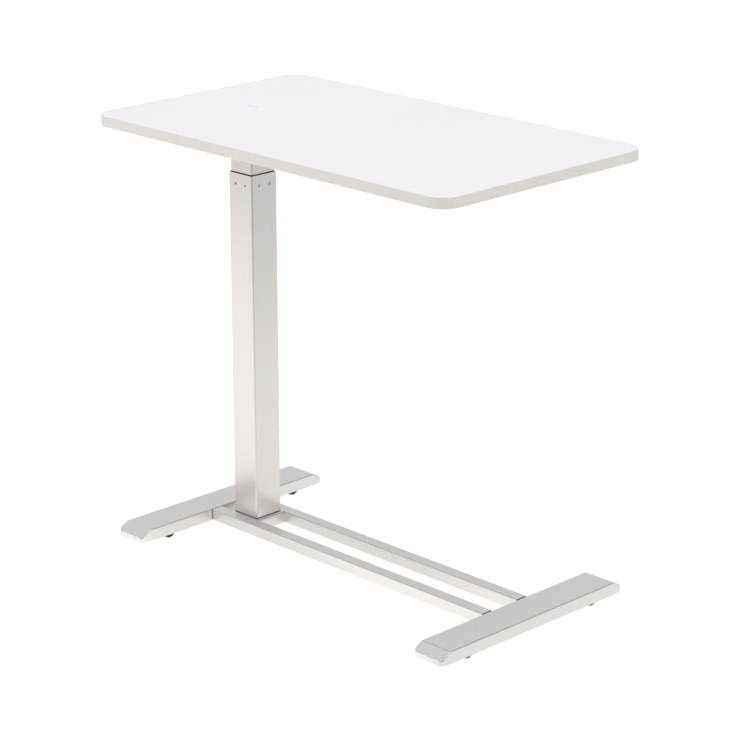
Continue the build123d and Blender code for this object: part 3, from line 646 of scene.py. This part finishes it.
def skin_column(bm, sizes):
    """A closed skin round the column's axis through heights, widths and corner radii."""
    skin(bm, [
        ring_z(column.x, column.y, z, width, width, corner) for z, width, corner in sizes
    ], closed=True)


def square_tube(bm, low, high, z0, z1, corner):
    """A standing square tube with deburred rims."""
    x, y = (low.x + high.x) / 2, (low.y + high.y) / 2
    width = high.x - low.x
    rim = 0.3 * MM
    inside = width - 2 * TUBE_WALL
    inner_corner = max(corner - TUBE_WALL, 0.5 * MM)
    sizes = (
        (z0, width - rim, corner), (z0 + rim, width, corner),
        (z1 - rim, width, corner), (z1, width - rim, corner),
        (z1, inside + rim, inner_corner), (z1 - rim, inside, inner_corner),
        (z0 + rim, inside, inner_corner), (z0, inside + rim, inner_corner),
    )
    skin(bm, [ring_z(x, y, z, size, size, radius) for z, size, radius in sizes], closed=True)


def peg_places():
    """Centre on the tube's face and outward direction of the eight pegs."""
    half = (outer_high.x - outer_low.x) / 2
    z = middle("guide_bush_pegs").z
    for offset in (-PEG_OFFSET, PEG_OFFSET):
        yield Vector((column.x + offset, column.y - half, z)), Vector((0, -1, 0))
        yield Vector((column.x + offset, column.y + half, z)), Vector((0, 1, 0))
        yield Vector((column.x - half, column.y + offset, z)), Vector((-1, 0, 0))
        yield Vector((column.x + half, column.y + offset, z)), Vector((1, 0, 0))


def outer_tube():
    """The fixed tube, with its countersunk peg holes."""
    bm = bmesh.new()
    bottom = outer_low.z + SHADE_STRIP_HEIGHT
    square_tube(bm, outer_low, outer_high, bottom, outer_high.z, OUTER_CORNER)
    tube = make_piece("outer_tube", bm, silver_z, "base", ["outer_column_tube"])
    hole = [
        (-TUBE_WALL - MM, ON_AXIS), (-TUBE_WALL - MM, PEG_HOLE), (-0.45 * MM, PEG_HOLE),
        (0.0, PEG_HOLE + 0.6 * MM), (MM, PEG_HOLE + 0.7 * MM), (MM, ON_AXIS),
    ]
    cutters = bmesh.new()
    for place, outward in peg_places():
        lathe(cutters, place, outward, hole, 32)
    cut(tube, cutters)


def pegs():
    """Moulded pegs sunk in the tube's holes, each with a small dimple."""
    bm = bmesh.new()
    radius = PEG_HOLE - 0.05 * MM
    for place, outward in peg_places():
        profile = [
            (-TUBE_WALL, ON_AXIS), (-TUBE_WALL, radius), (-PEG_SUNK - 0.2 * MM, radius),
            (-PEG_SUNK, radius - 0.25 * MM), (-PEG_SUNK, 1.1 * MM),
            (-PEG_SUNK - 0.4 * MM, 0.8 * MM), (-PEG_SUNK - 0.4 * MM, ON_AXIS),
        ]
        lathe(bm, place, outward, profile, 32)
    make_piece("bush_pegs", bm, grey_plastic, "base", ["guide_bush_pegs"])


def inner_tube():
    """The sliding tube."""
    bm = bmesh.new()
    square_tube(bm, inner_low, inner_high, inner_low.z, inner_high.z, INNER_CORNER)
    make_piece("inner_tube", bm, silver_z, "top", ["inner_column_tube"])


def guide_bush():
    """The sleeve in the outer tube's mouth, with a rounded lip round the inner tube."""
    low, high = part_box("upper_guide_bush")
    size = high.x - low.x
    hole = inner_high.x - inner_low.x + 0.12 * MM
    lip = inner_high.x - inner_low.x + 1.2 * MM
    lip_corner = INNER_CORNER + 0.6 * MM
    corner = OUTER_CORNER - TUBE_WALL
    z = outer_high.z
    sizes = (
        (low.z, size, corner), (z - 0.3 * MM, size, corner), (z, size - 0.4 * MM, corner),
        (z, lip, lip_corner), (high.z - 0.2 * MM, lip, lip_corner),
        (high.z, lip - 0.4 * MM, lip_corner), (high.z, hole + 0.2 * MM, INNER_CORNER),
        (high.z - 0.5 * MM, hole, INNER_CORNER), (low.z, hole, INNER_CORNER),
    )
    bm = bmesh.new()
    skin_column(bm, sizes)
    make_piece("guide_bush", bm, black_plastic, "base", ["upper_guide_bush"])


def column_shade_strip():
    """A thin black strip round the column's foot, painted shade for the dark contact line between the
    column and its seat.
    """
    size = outer_high.x - outer_low.x
    reach = 0.35 * MM
    z0, z1 = outer_low.z, outer_low.z + SHADE_STRIP_HEIGHT
    bm = bmesh.new()
    inside = size - 4 * MM
    sizes = (
        (z0, size + 2 * reach), (z1 - reach, size + 2 * reach), (z1, size), (z1, inside), (z0, inside),
    )
    skin_column(bm, [(z, width, OUTER_CORNER) for z, width in sizes])
    # Painted shade: the strip is black to stand for the shadowed joint under the column.
    make_piece("column_shade_strip", bm, seal_rubber, "base")


# ---- fasteners

BOLT_RADIUS = 3.0 * MM
BOLT_FLATS = 10.0 * MM
SCREW_RADIUS = 2.5 * MM
SCREW_HEAD_RADIUS = 5.0 * MM
SPRING_NUT_FLATS = 13.0 * MM
SPRING_NUT_HOLE = 4.05 * MM
STUD_NUT_FLATS = 7.0 * MM
COLUMN_BOLT_OFFSET = 17.0 * MM


def hexagon_ring(x, y, z, flats, inset=0.0):
    """A hexagon of 48 points about an upright axis, its corners cut back by a round chamfer."""
    points = []
    for step in range(48):
        angle = 2 * math.pi * step / 48
        wedge = (angle + math.pi / 6) % (math.pi / 3) - math.pi / 6
        radius = min(flats / 2 / math.cos(wedge), flats / math.sqrt(3) - inset)
        points.append(Vector((x + radius * math.cos(angle), y + radius * math.sin(angle), z)))
    return points


def circle_ring(x, y, z, radius):
    """A circle of 48 points about an upright axis."""
    angles = [2 * math.pi * step / 48 for step in range(48)]
    return [Vector((x + radius * math.cos(a), y + radius * math.sin(a), z)) for a in angles]


def hexagon_bolt(bm, x, y, under_head, head_height, shank_top):
    """A bolt with its head below: chamfered hexagon, washer face and plain shank."""
    flats = BOLT_FLATS
    bottom = under_head - head_height
    chamfer = 0.10 * flats
    skin(bm, [
        circle_ring(x, y, bottom, flats * 0.40),
        hexagon_ring(x, y, bottom + 0.15 * MM, flats, chamfer),
        hexagon_ring(x, y, bottom + chamfer * 0.6, flats),
        hexagon_ring(x, y, under_head - 0.3 * MM, flats),
        circle_ring(x, y, under_head - 0.3 * MM, flats * 0.47),
        circle_ring(x, y, under_head, flats * 0.47),
        circle_ring(x, y, under_head, BOLT_RADIUS),
        circle_ring(x, y, shank_top, BOLT_RADIUS),
    ])


def hexagon_nut(bm, x, y, bottom, height, flats, hole):
    """A nut with chamfered corners and a countersunk hole."""
    chamfer = 0.08 * flats
    skin(bm, [
        circle_ring(x, y, bottom, hole + 0.3 * MM),
        circle_ring(x, y, bottom, flats * 0.46),
        hexagon_ring(x, y, bottom + chamfer * 0.5, flats),
        hexagon_ring(x, y, bottom + height - chamfer * 0.5, flats),
        circle_ring(x, y, bottom + height, flats * 0.46),
        circle_ring(x, y, bottom + height, hole + 0.3 * MM),
        circle_ring(x, y, bottom + height - 0.3 * MM, hole),
        circle_ring(x, y, bottom + 0.3 * MM, hole),
    ], closed=True)


def socket_screw(bm, x, y, under_head, head_height, shank_radius, shank_top):
    """A pan-head screw with its head below and a hexagon socket in it."""
    head_radius = SCREW_HEAD_RADIUS
    bottom = under_head - head_height
    socket = head_radius * 0.95
    skin(bm, [
        hexagon_ring(x, y, bottom + 1.5 * MM, socket),
        hexagon_ring(x, y, bottom, socket),
        circle_ring(x, y, bottom, head_radius * 0.68),
        circle_ring(x, y, bottom + 0.25 * MM, head_radius * 0.85),
        circle_ring(x, y, bottom + 0.8 * MM, head_radius * 0.97),
        circle_ring(x, y, under_head - 0.4 * MM, head_radius),
        circle_ring(x, y, under_head, head_radius),
        circle_ring(x, y, under_head, shank_radius),
        circle_ring(x, y, shank_top, shank_radius),
    ])


def column_fasteners():
    """The bolts under the seat, and the gas spring's nut."""
    bolt_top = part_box("column_bolts")[1].z
    under_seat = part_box("column_seat")[1].z - SEAT_WALL
    bm = bmesh.new()
    for sx in (-1, 1):
        for sy in (-1, 1):
            x, y = column.x + sx * COLUMN_BOLT_OFFSET, column.y + sy * COLUMN_BOLT_OFFSET
            hexagon_bolt(bm, x, y, under_seat, 4.5 * MM, bolt_top)
    make_piece("seat_bolts", bm, zinc, "base", ["column_bolts"])
    nut_low, nut_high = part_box("gas_spring_nut")
    bm = bmesh.new()
    height = nut_high.z - nut_low.z
    hexagon_nut(bm, column.x, column.y, nut_low.z, height, SPRING_NUT_FLATS, SPRING_NUT_HOLE)
    make_piece("spring_nut", bm, zinc, "base", ["gas_spring_nut"])


def rail_bolts():
    """Socket-head bolts inside the feet, which hold the rails."""
    bm = bmesh.new()
    z = middle("front_rail").z
    for side in ("left", "right"):
        low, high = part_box(f"{side}_foot_beam")
        outward = -1 if side == "left" else 1
        wall = (high.x - FOOT_WALL) if side == "left" else (low.x + FOOT_WALL)
        for node in ("front_rail", "rear_rail"):
            y = middle(node).y
            single = bmesh.new()
            socket_screw(single, 0, 0, 0, 4 * MM, BOLT_RADIUS, 20 * MM)
            turn = Matrix.Rotation(math.radians(-90 * outward), 4, "Y")
            add_shape(bm, single, Matrix.Translation((wall, y, z)) @ turn)
    make_piece("rail_socket_bolts", bm, zinc, "base", ["rail_bolts"])


# ---- under the top

PLATE_CORNER = 10.0 * MM
ARM_CORNER = 2.0 * MM
ARM_WALL = 1.5 * MM
PLATE_BOLT_INSET = 22.0 * MM
plate_low, plate_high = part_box("mounting_plate")
arm_low, arm_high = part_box("front_support_arm")
ARM_Y = -(arm_low.y + arm_high.y) / 2


def mounting_plate():
    """The steel plate on the inner tube, with softened rims and a weld bead round the tube."""
    bm = bmesh.new()
    centre = (plate_low + plate_high) / 2
    size = plate_high - plate_low
    outline = rectangle_at(centre.x, centre.y, size.x, size.y, PLATE_CORNER)
    prism(bm, outline, plate_low.z, plate_high.z, 0.7 * MM)
    tube = inner_high.x - inner_low.x
    z = plate_low.z
    sizes = ((z + 0.2 * MM, 0.0), (z + 0.2 * MM, 6.4 * MM), (z, 6.0 * MM), (z - 1.2 * MM, 4.6 * MM),
             (z - 2.2 * MM, 3.0 * MM), (z - 2.8 * MM, 1.2 * MM), (z - 3.0 * MM, 0.0))
    skin_column(bm, [(height, tube + grow, INNER_CORNER + grow / 2) for height, grow in sizes])
    make_piece("mounting_steel", bm, black_paint, "top", ["mounting_plate"])


def support_arm(side):
    """A rectangular tube under the top."""
    low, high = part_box(f"{side}_support_arm")
    y, z = (low.y + high.y) / 2, (low.z + high.z) / 2
    width, height = high.y - low.y, high.z - low.z
    inside = (width - 2 * ARM_WALL, height - 2 * ARM_WALL)
    bm = bmesh.new()
    skin_x(bm, y, z, (
        (low.x, width, height, ARM_CORNER), (high.x, width, height, ARM_CORNER),
        (high.x, *inside, 0.5 * MM), (low.x, *inside, 0.5 * MM),
    ), closed=True)
    make_piece(f"{side}_arm", bm, black_paint, "top", [f"{side}_support_arm"])


def arm_caps():
    """Moulded caps with a rounded rim and a shallow dish."""
    low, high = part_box("support_arm_caps")
    z = (arm_low.z + arm_high.z) / 2
    width, height = arm_high.y - arm_low.y, arm_high.z - arm_low.z
    core = (width - 2 * ARM_WALL, height - 2 * ARM_WALL)
    bm = bmesh.new()
    for face, end, direction in ((arm_low.x, low.x, -1), (arm_high.x, high.x, 1)):
        stations = [
            (face - direction * 12 * MM, core[0] - MM, core[1] - MM, 0.5 * MM),
            (face - direction * 11 * MM, *core, 0.5 * MM), (face, *core, 0.5 * MM),
            (face, width, height, ARM_CORNER),
        ]
        for back, less in ((0.9, 0.0), (0.3, 0.7), (0.0, 2.0), (0.0, 6.0), (0.6, 8.0)):
            x = end - direction * back * MM
            stations.append((x, width - less * MM, height - less * MM, ARM_CORNER))
        for sy in (-1, 1):
            skin_x(bm, sy * ARM_Y, z, stations)
    make_piece("arm_end_caps", bm, dark_plastic, "top", ["support_arm_caps"])


def top_fasteners():
    """Bolts under the mounting plate, and screws under the arms."""
    bolt_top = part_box("plate_bolts")[1].z
    screw_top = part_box("panel_screws")[1].z
    bolts = bmesh.new()
    screws = bmesh.new()
    for sy in (-1, 1):
        for x in (plate_low.x + PLATE_BOLT_INSET, plate_high.x - PLATE_BOLT_INSET):
            hexagon_bolt(bolts, x, sy * ARM_Y, plate_low.z, 4 * MM, bolt_top)
        for x in (plate_high.x + 20 * MM, 0.0, arm_high.x - 30 * MM):
            socket_screw(screws, x, sy * ARM_Y, arm_low.z, 3 * MM, SCREW_RADIUS, screw_top)
    make_piece("mounting_bolts", bolts, zinc, "top", ["plate_bolts"])
    make_piece("top_screws", screws, zinc, "top", ["panel_screws"])


# ---- release lever

lever_low, lever_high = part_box("release_lever")
pin_low, pin_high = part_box("lever_pivot_pin")
pivot = (pin_low + pin_high) / 2
grip_low, grip_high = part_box("lever_grip")


def release_lever():
    """The stamped strip with rounded ends, and the barrel that turns on the pin."""
    width = lever_high.y - lever_low.y
    strip = 16.0 * MM
    half = 1.5 * MM
    middle_x = (lever_low.x + lever_high.x) / 2
    outline = rectangle_at(middle_x, pivot.y, lever_high.x - lever_low.x, strip, 4 * MM)
    bm = bmesh.new()
    prism(bm, outline, pivot.z - half, pivot.z + half, 0.5 * MM)
    radius = (lever_high.z - lever_low.z) / 2
    bore = 2.55 * MM
    chamfer = 0.4 * MM
    profile = [
        (-width / 2, bore), (-width / 2, radius - chamfer), (-width / 2 + chamfer, radius),
        (width / 2 - chamfer, radius), (width / 2, radius - chamfer), (width / 2, bore),
        (-width / 2, bore),
    ]
    lathe(bm, pivot, (0, 1, 0), profile, 40)
    make_piece("lever_arm", bm, black_paint, "lever", ["release_lever"])


def lever_grip():
    """The moulded paddle, with ribs under it for the fingers."""
    centre = (grip_low + grip_high) / 2
    size = grip_high - grip_low
    rib = 0.8 * MM
    outline = rectangle_at(centre.x, centre.y, size.x, size.y, 9 * MM, 10)
    bm = bmesh.new()
    prism(bm, outline, grip_low.z + rib, grip_high.z, 2.6 * MM, 5)
    for step in range(6):
        x = grip_low.x + (9 + 5.5 * step) * MM
        ring = rectangle_at(x, centre.y, 2.2 * MM, size.y - 14 * MM, 1.0 * MM, 4)
        prism(bm, ring, grip_low.z, grip_low.z + 2 * rib, 0.5 * MM, 3)
    make_piece("lever_paddle", bm, dark_plastic, "lever", ["lever_grip"])


def lever_bracket():
    """Two riveted ears that hold the lever's pivot pin."""
    low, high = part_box("lever_bracket")
    reach = (high.x - low.x) / 2
    rivet = [
        (0, ON_AXIS), (0, 1.8 * MM), (0.4 * MM, 1.6 * MM), (0.8 * MM, 0.9 * MM), (0.95 * MM, ON_AXIS),
    ]
    bm = bmesh.new()
    for sy in (-1, 1):
        inner, outer = sorted((sy * 10 * MM, sy * 12 * MM))
        outline = [(pivot.x - reach, low.z), (pivot.x + reach, low.z)]
        for step in range(17):
            angle = math.pi * step / 16
            z = pivot.z - 2 * MM + (high.z - pivot.z + 2 * MM) * math.sin(angle)
            outline.append((pivot.x + reach * math.cos(angle), z))
        prism(bm, outline, inner, outer, 0.35 * MM, 2, across_axes)
        flange = sy * 16 * MM
        ring = rectangle_at(pivot.x, flange, 2 * reach, 12 * MM, 2.5 * MM, 6)
        prism(bm, ring, low.z, low.z + 2 * MM, 0.35 * MM, 2)
        for sx in (-1, 1):
            place = (pivot.x + sx * 5 * MM, sy * 17.5 * MM, low.z + 2 * MM)
            lathe(bm, place, (0, 0, 1), rivet, 24)
    make_piece("pivot_bracket", bm, zinc, "top", ["lever_bracket"])


def pivot_pin():
    """The headed pin, with a clip in the groove at its other end."""
    start, end = pin_low.y - pivot.y, pin_high.y - pivot.y
    radius = (pin_high.z - pin_low.z) / 2
    head = ((0.0, 0.9), (0.4, 1.3), (1.6, 1.3), (1.6, 0.0))
    clip = (
        (1.6, 0.0), (1.6, 1.4), (1.0, 1.4), (1.0, -0.5), (0.7, -0.5), (0.7, -0.1), (0.3, -0.1),
        (0.0, -0.5),
    )
    profile = [(start, ON_AXIS)] + [(start + along * MM, radius + proud * MM) for along, proud in head]
    profile += [(end - along * MM, radius + proud * MM) for along, proud in clip] + [(end, ON_AXIS)]
    bm = bmesh.new()
    lathe(bm, pivot, (0, 1, 0), profile, 40)
    make_piece("pivot_pin", bm, zinc, "top", ["lever_pivot_pin"])


# ---- casters

WHEEL_RADIUS = 12.5 * MM
WHEEL_INNER_FACE = 6.0 * MM
WHEEL_WIDTH = 10.0 * MM
AXLE_RADIUS = 2.0 * MM
PLATE_SIZE = (46.0 * MM, 40.0 * MM)
HUB_RIBS = 6
HOOD_START = 37.5
HOOD_END = 153.4


def caster_place(corner):
    """The caster's swivel axis, and the middle of its axle."""
    low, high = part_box(f"{corner}_caster_axle")
    axle = (low + high) / 2
    return Vector((axle.x, axle.y - CASTER_TRAIL, 0.0)), axle


def caster_mounts():
    """Each caster's plate with its pressed race and kingpin, and the two nuts that hold it."""
    low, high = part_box("caster_plates")
    nut_low, nut_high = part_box("caster_nuts")
    plate_z = high.z - 2 * MM
    plates = bmesh.new()
    nuts = bmesh.new()
    for corner in CORNERS:
        swivel = caster_place(corner)[0]
        x, y = swivel.x, swivel.y
        outline = rectangle_at(x, y, *PLATE_SIZE, 5 * MM)
        prism(plates, outline, plate_z, high.z, 0.4 * MM, 2)
        race = [
            (plate_z + 0.1 * MM, ON_AXIS), (plate_z + 0.1 * MM, 13.5 * MM), (plate_z, 13.5 * MM),
            (plate_z - 0.3 * MM, 12.8 * MM), (plate_z - 0.3 * MM, 3.0 * MM),
            (low.z + 0.5 * MM, 3.0 * MM), (low.z, 2.5 * MM), (low.z, ON_AXIS),
        ]
        lathe(plates, (x, y, 0), (0, 0, 1), race, 48)
        for sign in (-1, 1):
            place = (x + sign * STUD_ACROSS, y + sign * STUD_ALONG)
            height = nut_high.z - nut_low.z
            hexagon_nut(nuts, *place, nut_low.z, height, STUD_NUT_FLATS, STUD_RADIUS + 0.05 * MM)
    make_piece("caster_top_plates", plates, zinc, "base", ["caster_plates"])
    make_piece("caster_plate_nuts", nuts, zinc, "base", ["caster_nuts"])


def caster_hood(bm, axle):
    """The curved cover over both wheels."""
    half = WHEEL_INNER_FACE + WHEEL_WIDTH + 0.2 * MM
    inside, outside = WHEEL_RADIUS + 0.6 * MM, WHEEL_RADIUS + 2.0 * MM
    middle_radius, thickness = (inside + outside) / 2, outside - inside
    section = rounded_rectangle(2 * half, thickness, 0.6 * MM, 4)
    rings = []
    for step in range(29):
        angle = math.radians(HOOD_START + (HOOD_END - HOOD_START) * step / 28)
        rings.append([
            Vector((
                axle.x + across,
                axle.y + (middle_radius + out) * math.cos(angle),
                axle.z + (middle_radius + out) * math.sin(angle),
            ))
            for across, out in section
        ])
    skin(bm, rings)


def caster_web(bm, axle, top):
    """The plate between the wheels, from the hub to the axle."""
    half = WHEEL_INNER_FACE - 0.4 * MM
    front, rear, disc, boss = -CASTER_TRAIL - MM, 11.5 * MM, WHEEL_RADIUS + 0.8 * MM, 5 * MM
    outline = [(front, 0.0)]
    for step in range(13):
        angle = math.pi * step / 12
        outline.append((-boss * math.cos(angle), -boss * math.sin(angle)))
    outline.append((rear, 0.0))
    start = math.acos(rear / disc)
    for step in range(13):
        angle = start + (math.pi / 2 - start) * step / 12
        outline.append((disc * math.cos(angle), disc * math.sin(angle)))
    outline += [(0.0, top - axle.z), (front, top - axle.z)]
    placed = [(axle.y + y, axle.z + z) for y, z in outline]
    prism(bm, placed, axle.x - half, axle.x + half, 0.35 * MM, 2, sideways_axes)


def caster(corner):
    """One caster: its body with hub and hood, its axle and its twin wheels."""
    swivel, axle = caster_place(corner)
    hub_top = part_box(f"{corner}_caster_body")[1].z
    hub = (
        (-7.0, 0.1), (-7.0, 5.0), (-6.5, 5.5), (-3.4, 5.5), (-2.7, 6.4), (-2.6, 11.5),
        (-2.1, 12.0), (-0.5, 12.0), (0.0, 11.5), (0.0, 3.05), (-6.5, 3.05), (-6.5, 0.1),
    )
    bm = bmesh.new()
    lathe_mm(bm, (swivel.x, swivel.y, hub_top), (0, 0, 1), hub)
    caster_hood(bm, axle)
    caster_web(bm, axle, hub_top - 3 * MM)
    body = f"{corner}_caster"
    make_piece(f"{corner}_hood", bm, dark_plastic, body, [f"{corner}_caster_body"])
    axle_pin(corner, axle)
    for name, side in (("a", -1), ("b", 1)):
        caster_wheel(corner, axle, name, side)


def axle_pin(corner, axle):
    """The axle, with riveted ends."""
    reach = WHEEL_INNER_FACE + WHEEL_WIDTH - 0.4 * MM
    profile = [
        (-reach, ON_AXIS), (-reach, 1.2 * MM), (-reach + 0.5 * MM, AXLE_RADIUS),
        (reach - 0.5 * MM, AXLE_RADIUS), (reach, 1.2 * MM), (reach, ON_AXIS),
    ]
    bm = bmesh.new()
    lathe(bm, axle, (1, 0, 0), profile, 32)
    make_piece(f"{corner}_axle", bm, zinc, f"{corner}_caster", [f"{corner}_caster_axle"])


def caster_wheel(corner, axle, name, side):
    """A grooved rubber tyre on a ribbed plastic hub."""
    body = f"{corner}_wheel_{name}"
    start = Vector((axle.x + side * WHEEL_INNER_FACE, axle.y, axle.z))
    outward = (side, 0, 0)
    tyre = (
        (0, 9.0), (0, 10.9), (0.5, 12.0), (1.6, 12.5), (4.7, 12.5), (4.85, 12.2),
        (5.15, 12.2), (5.3, 12.5), (8.4, 12.5), (9.5, 12.0), (10.0, 10.9), (10.0, 9.2),
        (9.6, 8.8), (0.4, 8.8), (0, 9.0),
    )
    hub = (
        (0.2, 2.05), (0.2, 8.8), (9.7, 8.8), (9.8, 8.4), (9.0, 8.1), (9.0, 4.5), (9.7, 4.1),
        (9.8, 2.3), (9.5, 2.05), (0.2, 2.05),
    )
    bm = bmesh.new()
    lathe_mm(bm, start, outward, tyre, 64)
    make_piece(f"{body}_tyre", bm, tyre_rubber, body, [f"{corner}_caster_wheel_{name}"])
    bm = bmesh.new()
    lathe_mm(bm, start, outward, hub)
    for step in range(HUB_RIBS):
        single = bmesh.new()
        ring = rectangle_at(6.3 * MM, 0.0, 4.2 * MM, 0.9 * MM, 0.4 * MM, 3)
        prism(single, ring, 8.8 * MM, 9.6 * MM, 0.2 * MM, 2)
        spin = Matrix.Rotation(math.radians(360 / HUB_RIBS * step + 15), 4, "Z")
        turn = Vector(outward).to_track_quat("Z", "Y").to_matrix().to_4x4()
        add_shape(bm, single, Matrix.Translation(start) @ turn @ spin)
    make_piece(f"{body}_hub", bm, dark_plastic, body)


# ---- finishes of the CAD nodes that stay

FINISHES = {
    "silver_frame": silver_x,
    "steel_parts": zinc,
    "dark_paint": black_paint,
    "chrome_rod": chrome,
    "cast_alloy": cast_alloy,
    "white_laminate": white_top,
    "edge_band": band_plastic,
    "dark_plastic": dark_plastic,
    "wheel_tread": tyre_rubber,
    "seal_rubber": seal_rubber,
}
for part in frame["record"]["subparts"]:
    node = frame["nodes"][part["node"]]
    node.data.materials.clear()
    node.data.materials.append(FINISHES[part["material_slot"]])
for name in ("left_foot_beam", "right_foot_beam"):
    frame["nodes"][name].data.materials[0] = silver_y
for name in ("outer_column_tube", "inner_column_tube"):
    frame["nodes"][name].data.materials[0] = silver_z

tabletop()
edge_band()
for side in ("left", "right"):
    foot(side)
for side in ("front", "rear"):
    rail(side)
rail_collars()
seat()
outer_tube()
pegs()
inner_tube()
guide_bush()
column_shade_strip()
column_fasteners()
rail_bolts()
mounting_plate()
for side in ("front", "rear"):
    support_arm(side)
arm_caps()
top_fasteners()
release_lever()
lever_grip()
lever_bracket()
pivot_pin()
caster_mounts()
for corner in CORNERS:
    caster(corner)


# ---- floor, light and camera

AMBIENT = 0.78
# Direction, where the floor's glow starts to fall, where it has fallen, and what is left of it.
FALLS = (
    ((0.806, 0.608, 0.0), 0.68, 1.95, 0.68),
    ((0.707, 0.707, 0.0), -2.1, -2.7, 0.62),
    ((-0.707, 0.707, 0.0), -0.66, -1.80, 0.50),
)
# Direction, the cosines where a lobe of the surroundings starts and is full, and its strength.
LOBES = (
    ((0.0, 0.0, 1.0), 0.85, 1.0, 2.7),
    ((1.0, 0.05, 0.15), 0.3, 1.0, 0.45),
    ((0.45, 0.40, 0.80), 0.80, 0.92, -0.50),
    ((0.67, -0.67, 0.31), 0.75, 1.0, -0.30),
)
# A dark spot between the left foot and the column, where no light gets down in the real table.
POCKET = (-0.310, 0.004, 0.0)
POCKET_RADIUS = 0.026
# The front of the floor glows more, up to where the right foot starts.
FRONT = (0.35, -1.0, 0.0)
FRONT_GAIN = 0.24


def make_floor():
    """A plain pale floor that glows white: more at the front, less far off on three sides."""
    bm = bmesh.new()
    skin(bm, [ring_z(0, 0, z, 60.0, 60.0, 6.0, 8) for z in (-0.02, 0.0)])
    mesh = bpy.data.meshes.new("floor")
    bm.to_mesh(mesh)
    bm.free()
    floor = bpy.data.objects.new("floor", mesh)
    bpy.context.scene.collection.objects.link(floor)
    material, tree, shader, place = new_material("floor_paint")
    tone = spread(tree, noise(tree, place, 2.0), 0.0, 1.0)
    colour = blend_colours(tree, tone, (0.045, 0.045, 0.045), (0.055, 0.055, 0.055))
    tree.links.new(colour, shader.inputs["Base Color"])
    shader.inputs["Roughness"].default_value = 0.9
    shader.inputs["Specular IOR Level"].default_value = 0.0
    shader.inputs["Emission Color"].default_value = (1.0, 1.0, 1.0, 1.0)
    forward = vector_value(tree, "DOT_PRODUCT", place, FRONT)
    front = spread(tree, forward, 0.0, FRONT_GAIN, 0.03, 0.10)
    rightward = vector_value(tree, "DOT_PRODUCT", place, (1.0, 0.0, 0.0))
    leftward = spread(tree, rightward, 1.0, 0.0, 0.33, 0.38)
    glow = spread(tree, multiply_values(tree, front, leftward), 1.0, 2.0, 0.0, 1.0)
    reach = vector_value(tree, "DISTANCE", place, POCKET)
    pocket = spread(tree, reach, 0.0, 1.0, POCKET_RADIUS, POCKET_RADIUS + 0.004)
    glow = multiply_values(tree, glow, pocket)
    for towards, start, end, share in FALLS:
        along = vector_value(tree, "DOT_PRODUCT", place, towards)
        glow = multiply_values(tree, glow, spread(tree, along, 1.0, share, start, end))
    tree.links.new(glow, shader.inputs["Emission Strength"])
    floor.data.materials.append(material)


def make_world():
    """Even studio surroundings: bright overhead and to the right, dimmer in two soft lobes."""
    world = bpy.data.worlds.new("studio")
    world.use_nodes = True
    tree = world.node_tree
    background = next(n for n in tree.nodes if n.type == "BACKGROUND")
    direction = tree.nodes.new("ShaderNodeTexCoord").outputs["Generated"]
    strength = None
    for towards, start, end, gain in LOBES:
        facing = vector_value(tree, "DOT_PRODUCT", direction, Vector(towards).normalized())
        base = 0.0 if strength else AMBIENT
        lobe = spread(tree, facing, base, base + gain, start, end)
        strength = add_values(tree, lobe, strength, 1.0) if strength else lobe
    tree.links.new(strength, background.inputs["Strength"])
    background.inputs["Color"].default_value = (0.95, 0.975, 1.02, 1.0)
    bpy.context.scene.world = world


CAMERA_AZIMUTH = 45.34
CAMERA_ELEVATION = 18.255
CAMERA_ROLL = -0.083
CAMERA_DISTANCE = 4.346
CAMERA_LENS = 128.2
AIM_RIGHT = 0.01134
AIM_HEIGHT = 0.3553


def make_camera():
    """The camera, turned round the table's middle by its azimuth, elevation and roll."""
    azimuth = math.radians(CAMERA_AZIMUTH)
    elevation = math.radians(CAMERA_ELEVATION)
    roll = math.radians(CAMERA_ROLL)
    back = Vector((
        math.sin(azimuth) * math.cos(elevation),
        -math.cos(azimuth) * math.cos(elevation),
        math.sin(elevation),
    ))
    right = Vector((math.cos(azimuth), math.sin(azimuth), 0.0))
    up = back.cross(right)
    target = right * AIM_RIGHT + Vector((0.0, 0.0, AIM_HEIGHT))
    turned_right = right * math.cos(roll) + up * math.sin(roll)
    turned_up = up * math.cos(roll) - right * math.sin(roll)
    data = bpy.data.cameras.new("camera")
    data.sensor_width = 36.0
    data.lens = CAMERA_LENS
    camera = bpy.data.objects.new("camera", data)
    axes = Matrix((turned_right, turned_up, back)).transposed()
    camera.matrix_world = Matrix.Translation(target + back * CAMERA_DISTANCE) @ axes.to_4x4()
    bpy.context.scene.collection.objects.link(camera)
    bpy.context.scene.camera = camera


make_floor()
make_world()
make_camera()
bpy.context.scene.view_settings.view_transform = "Standard"
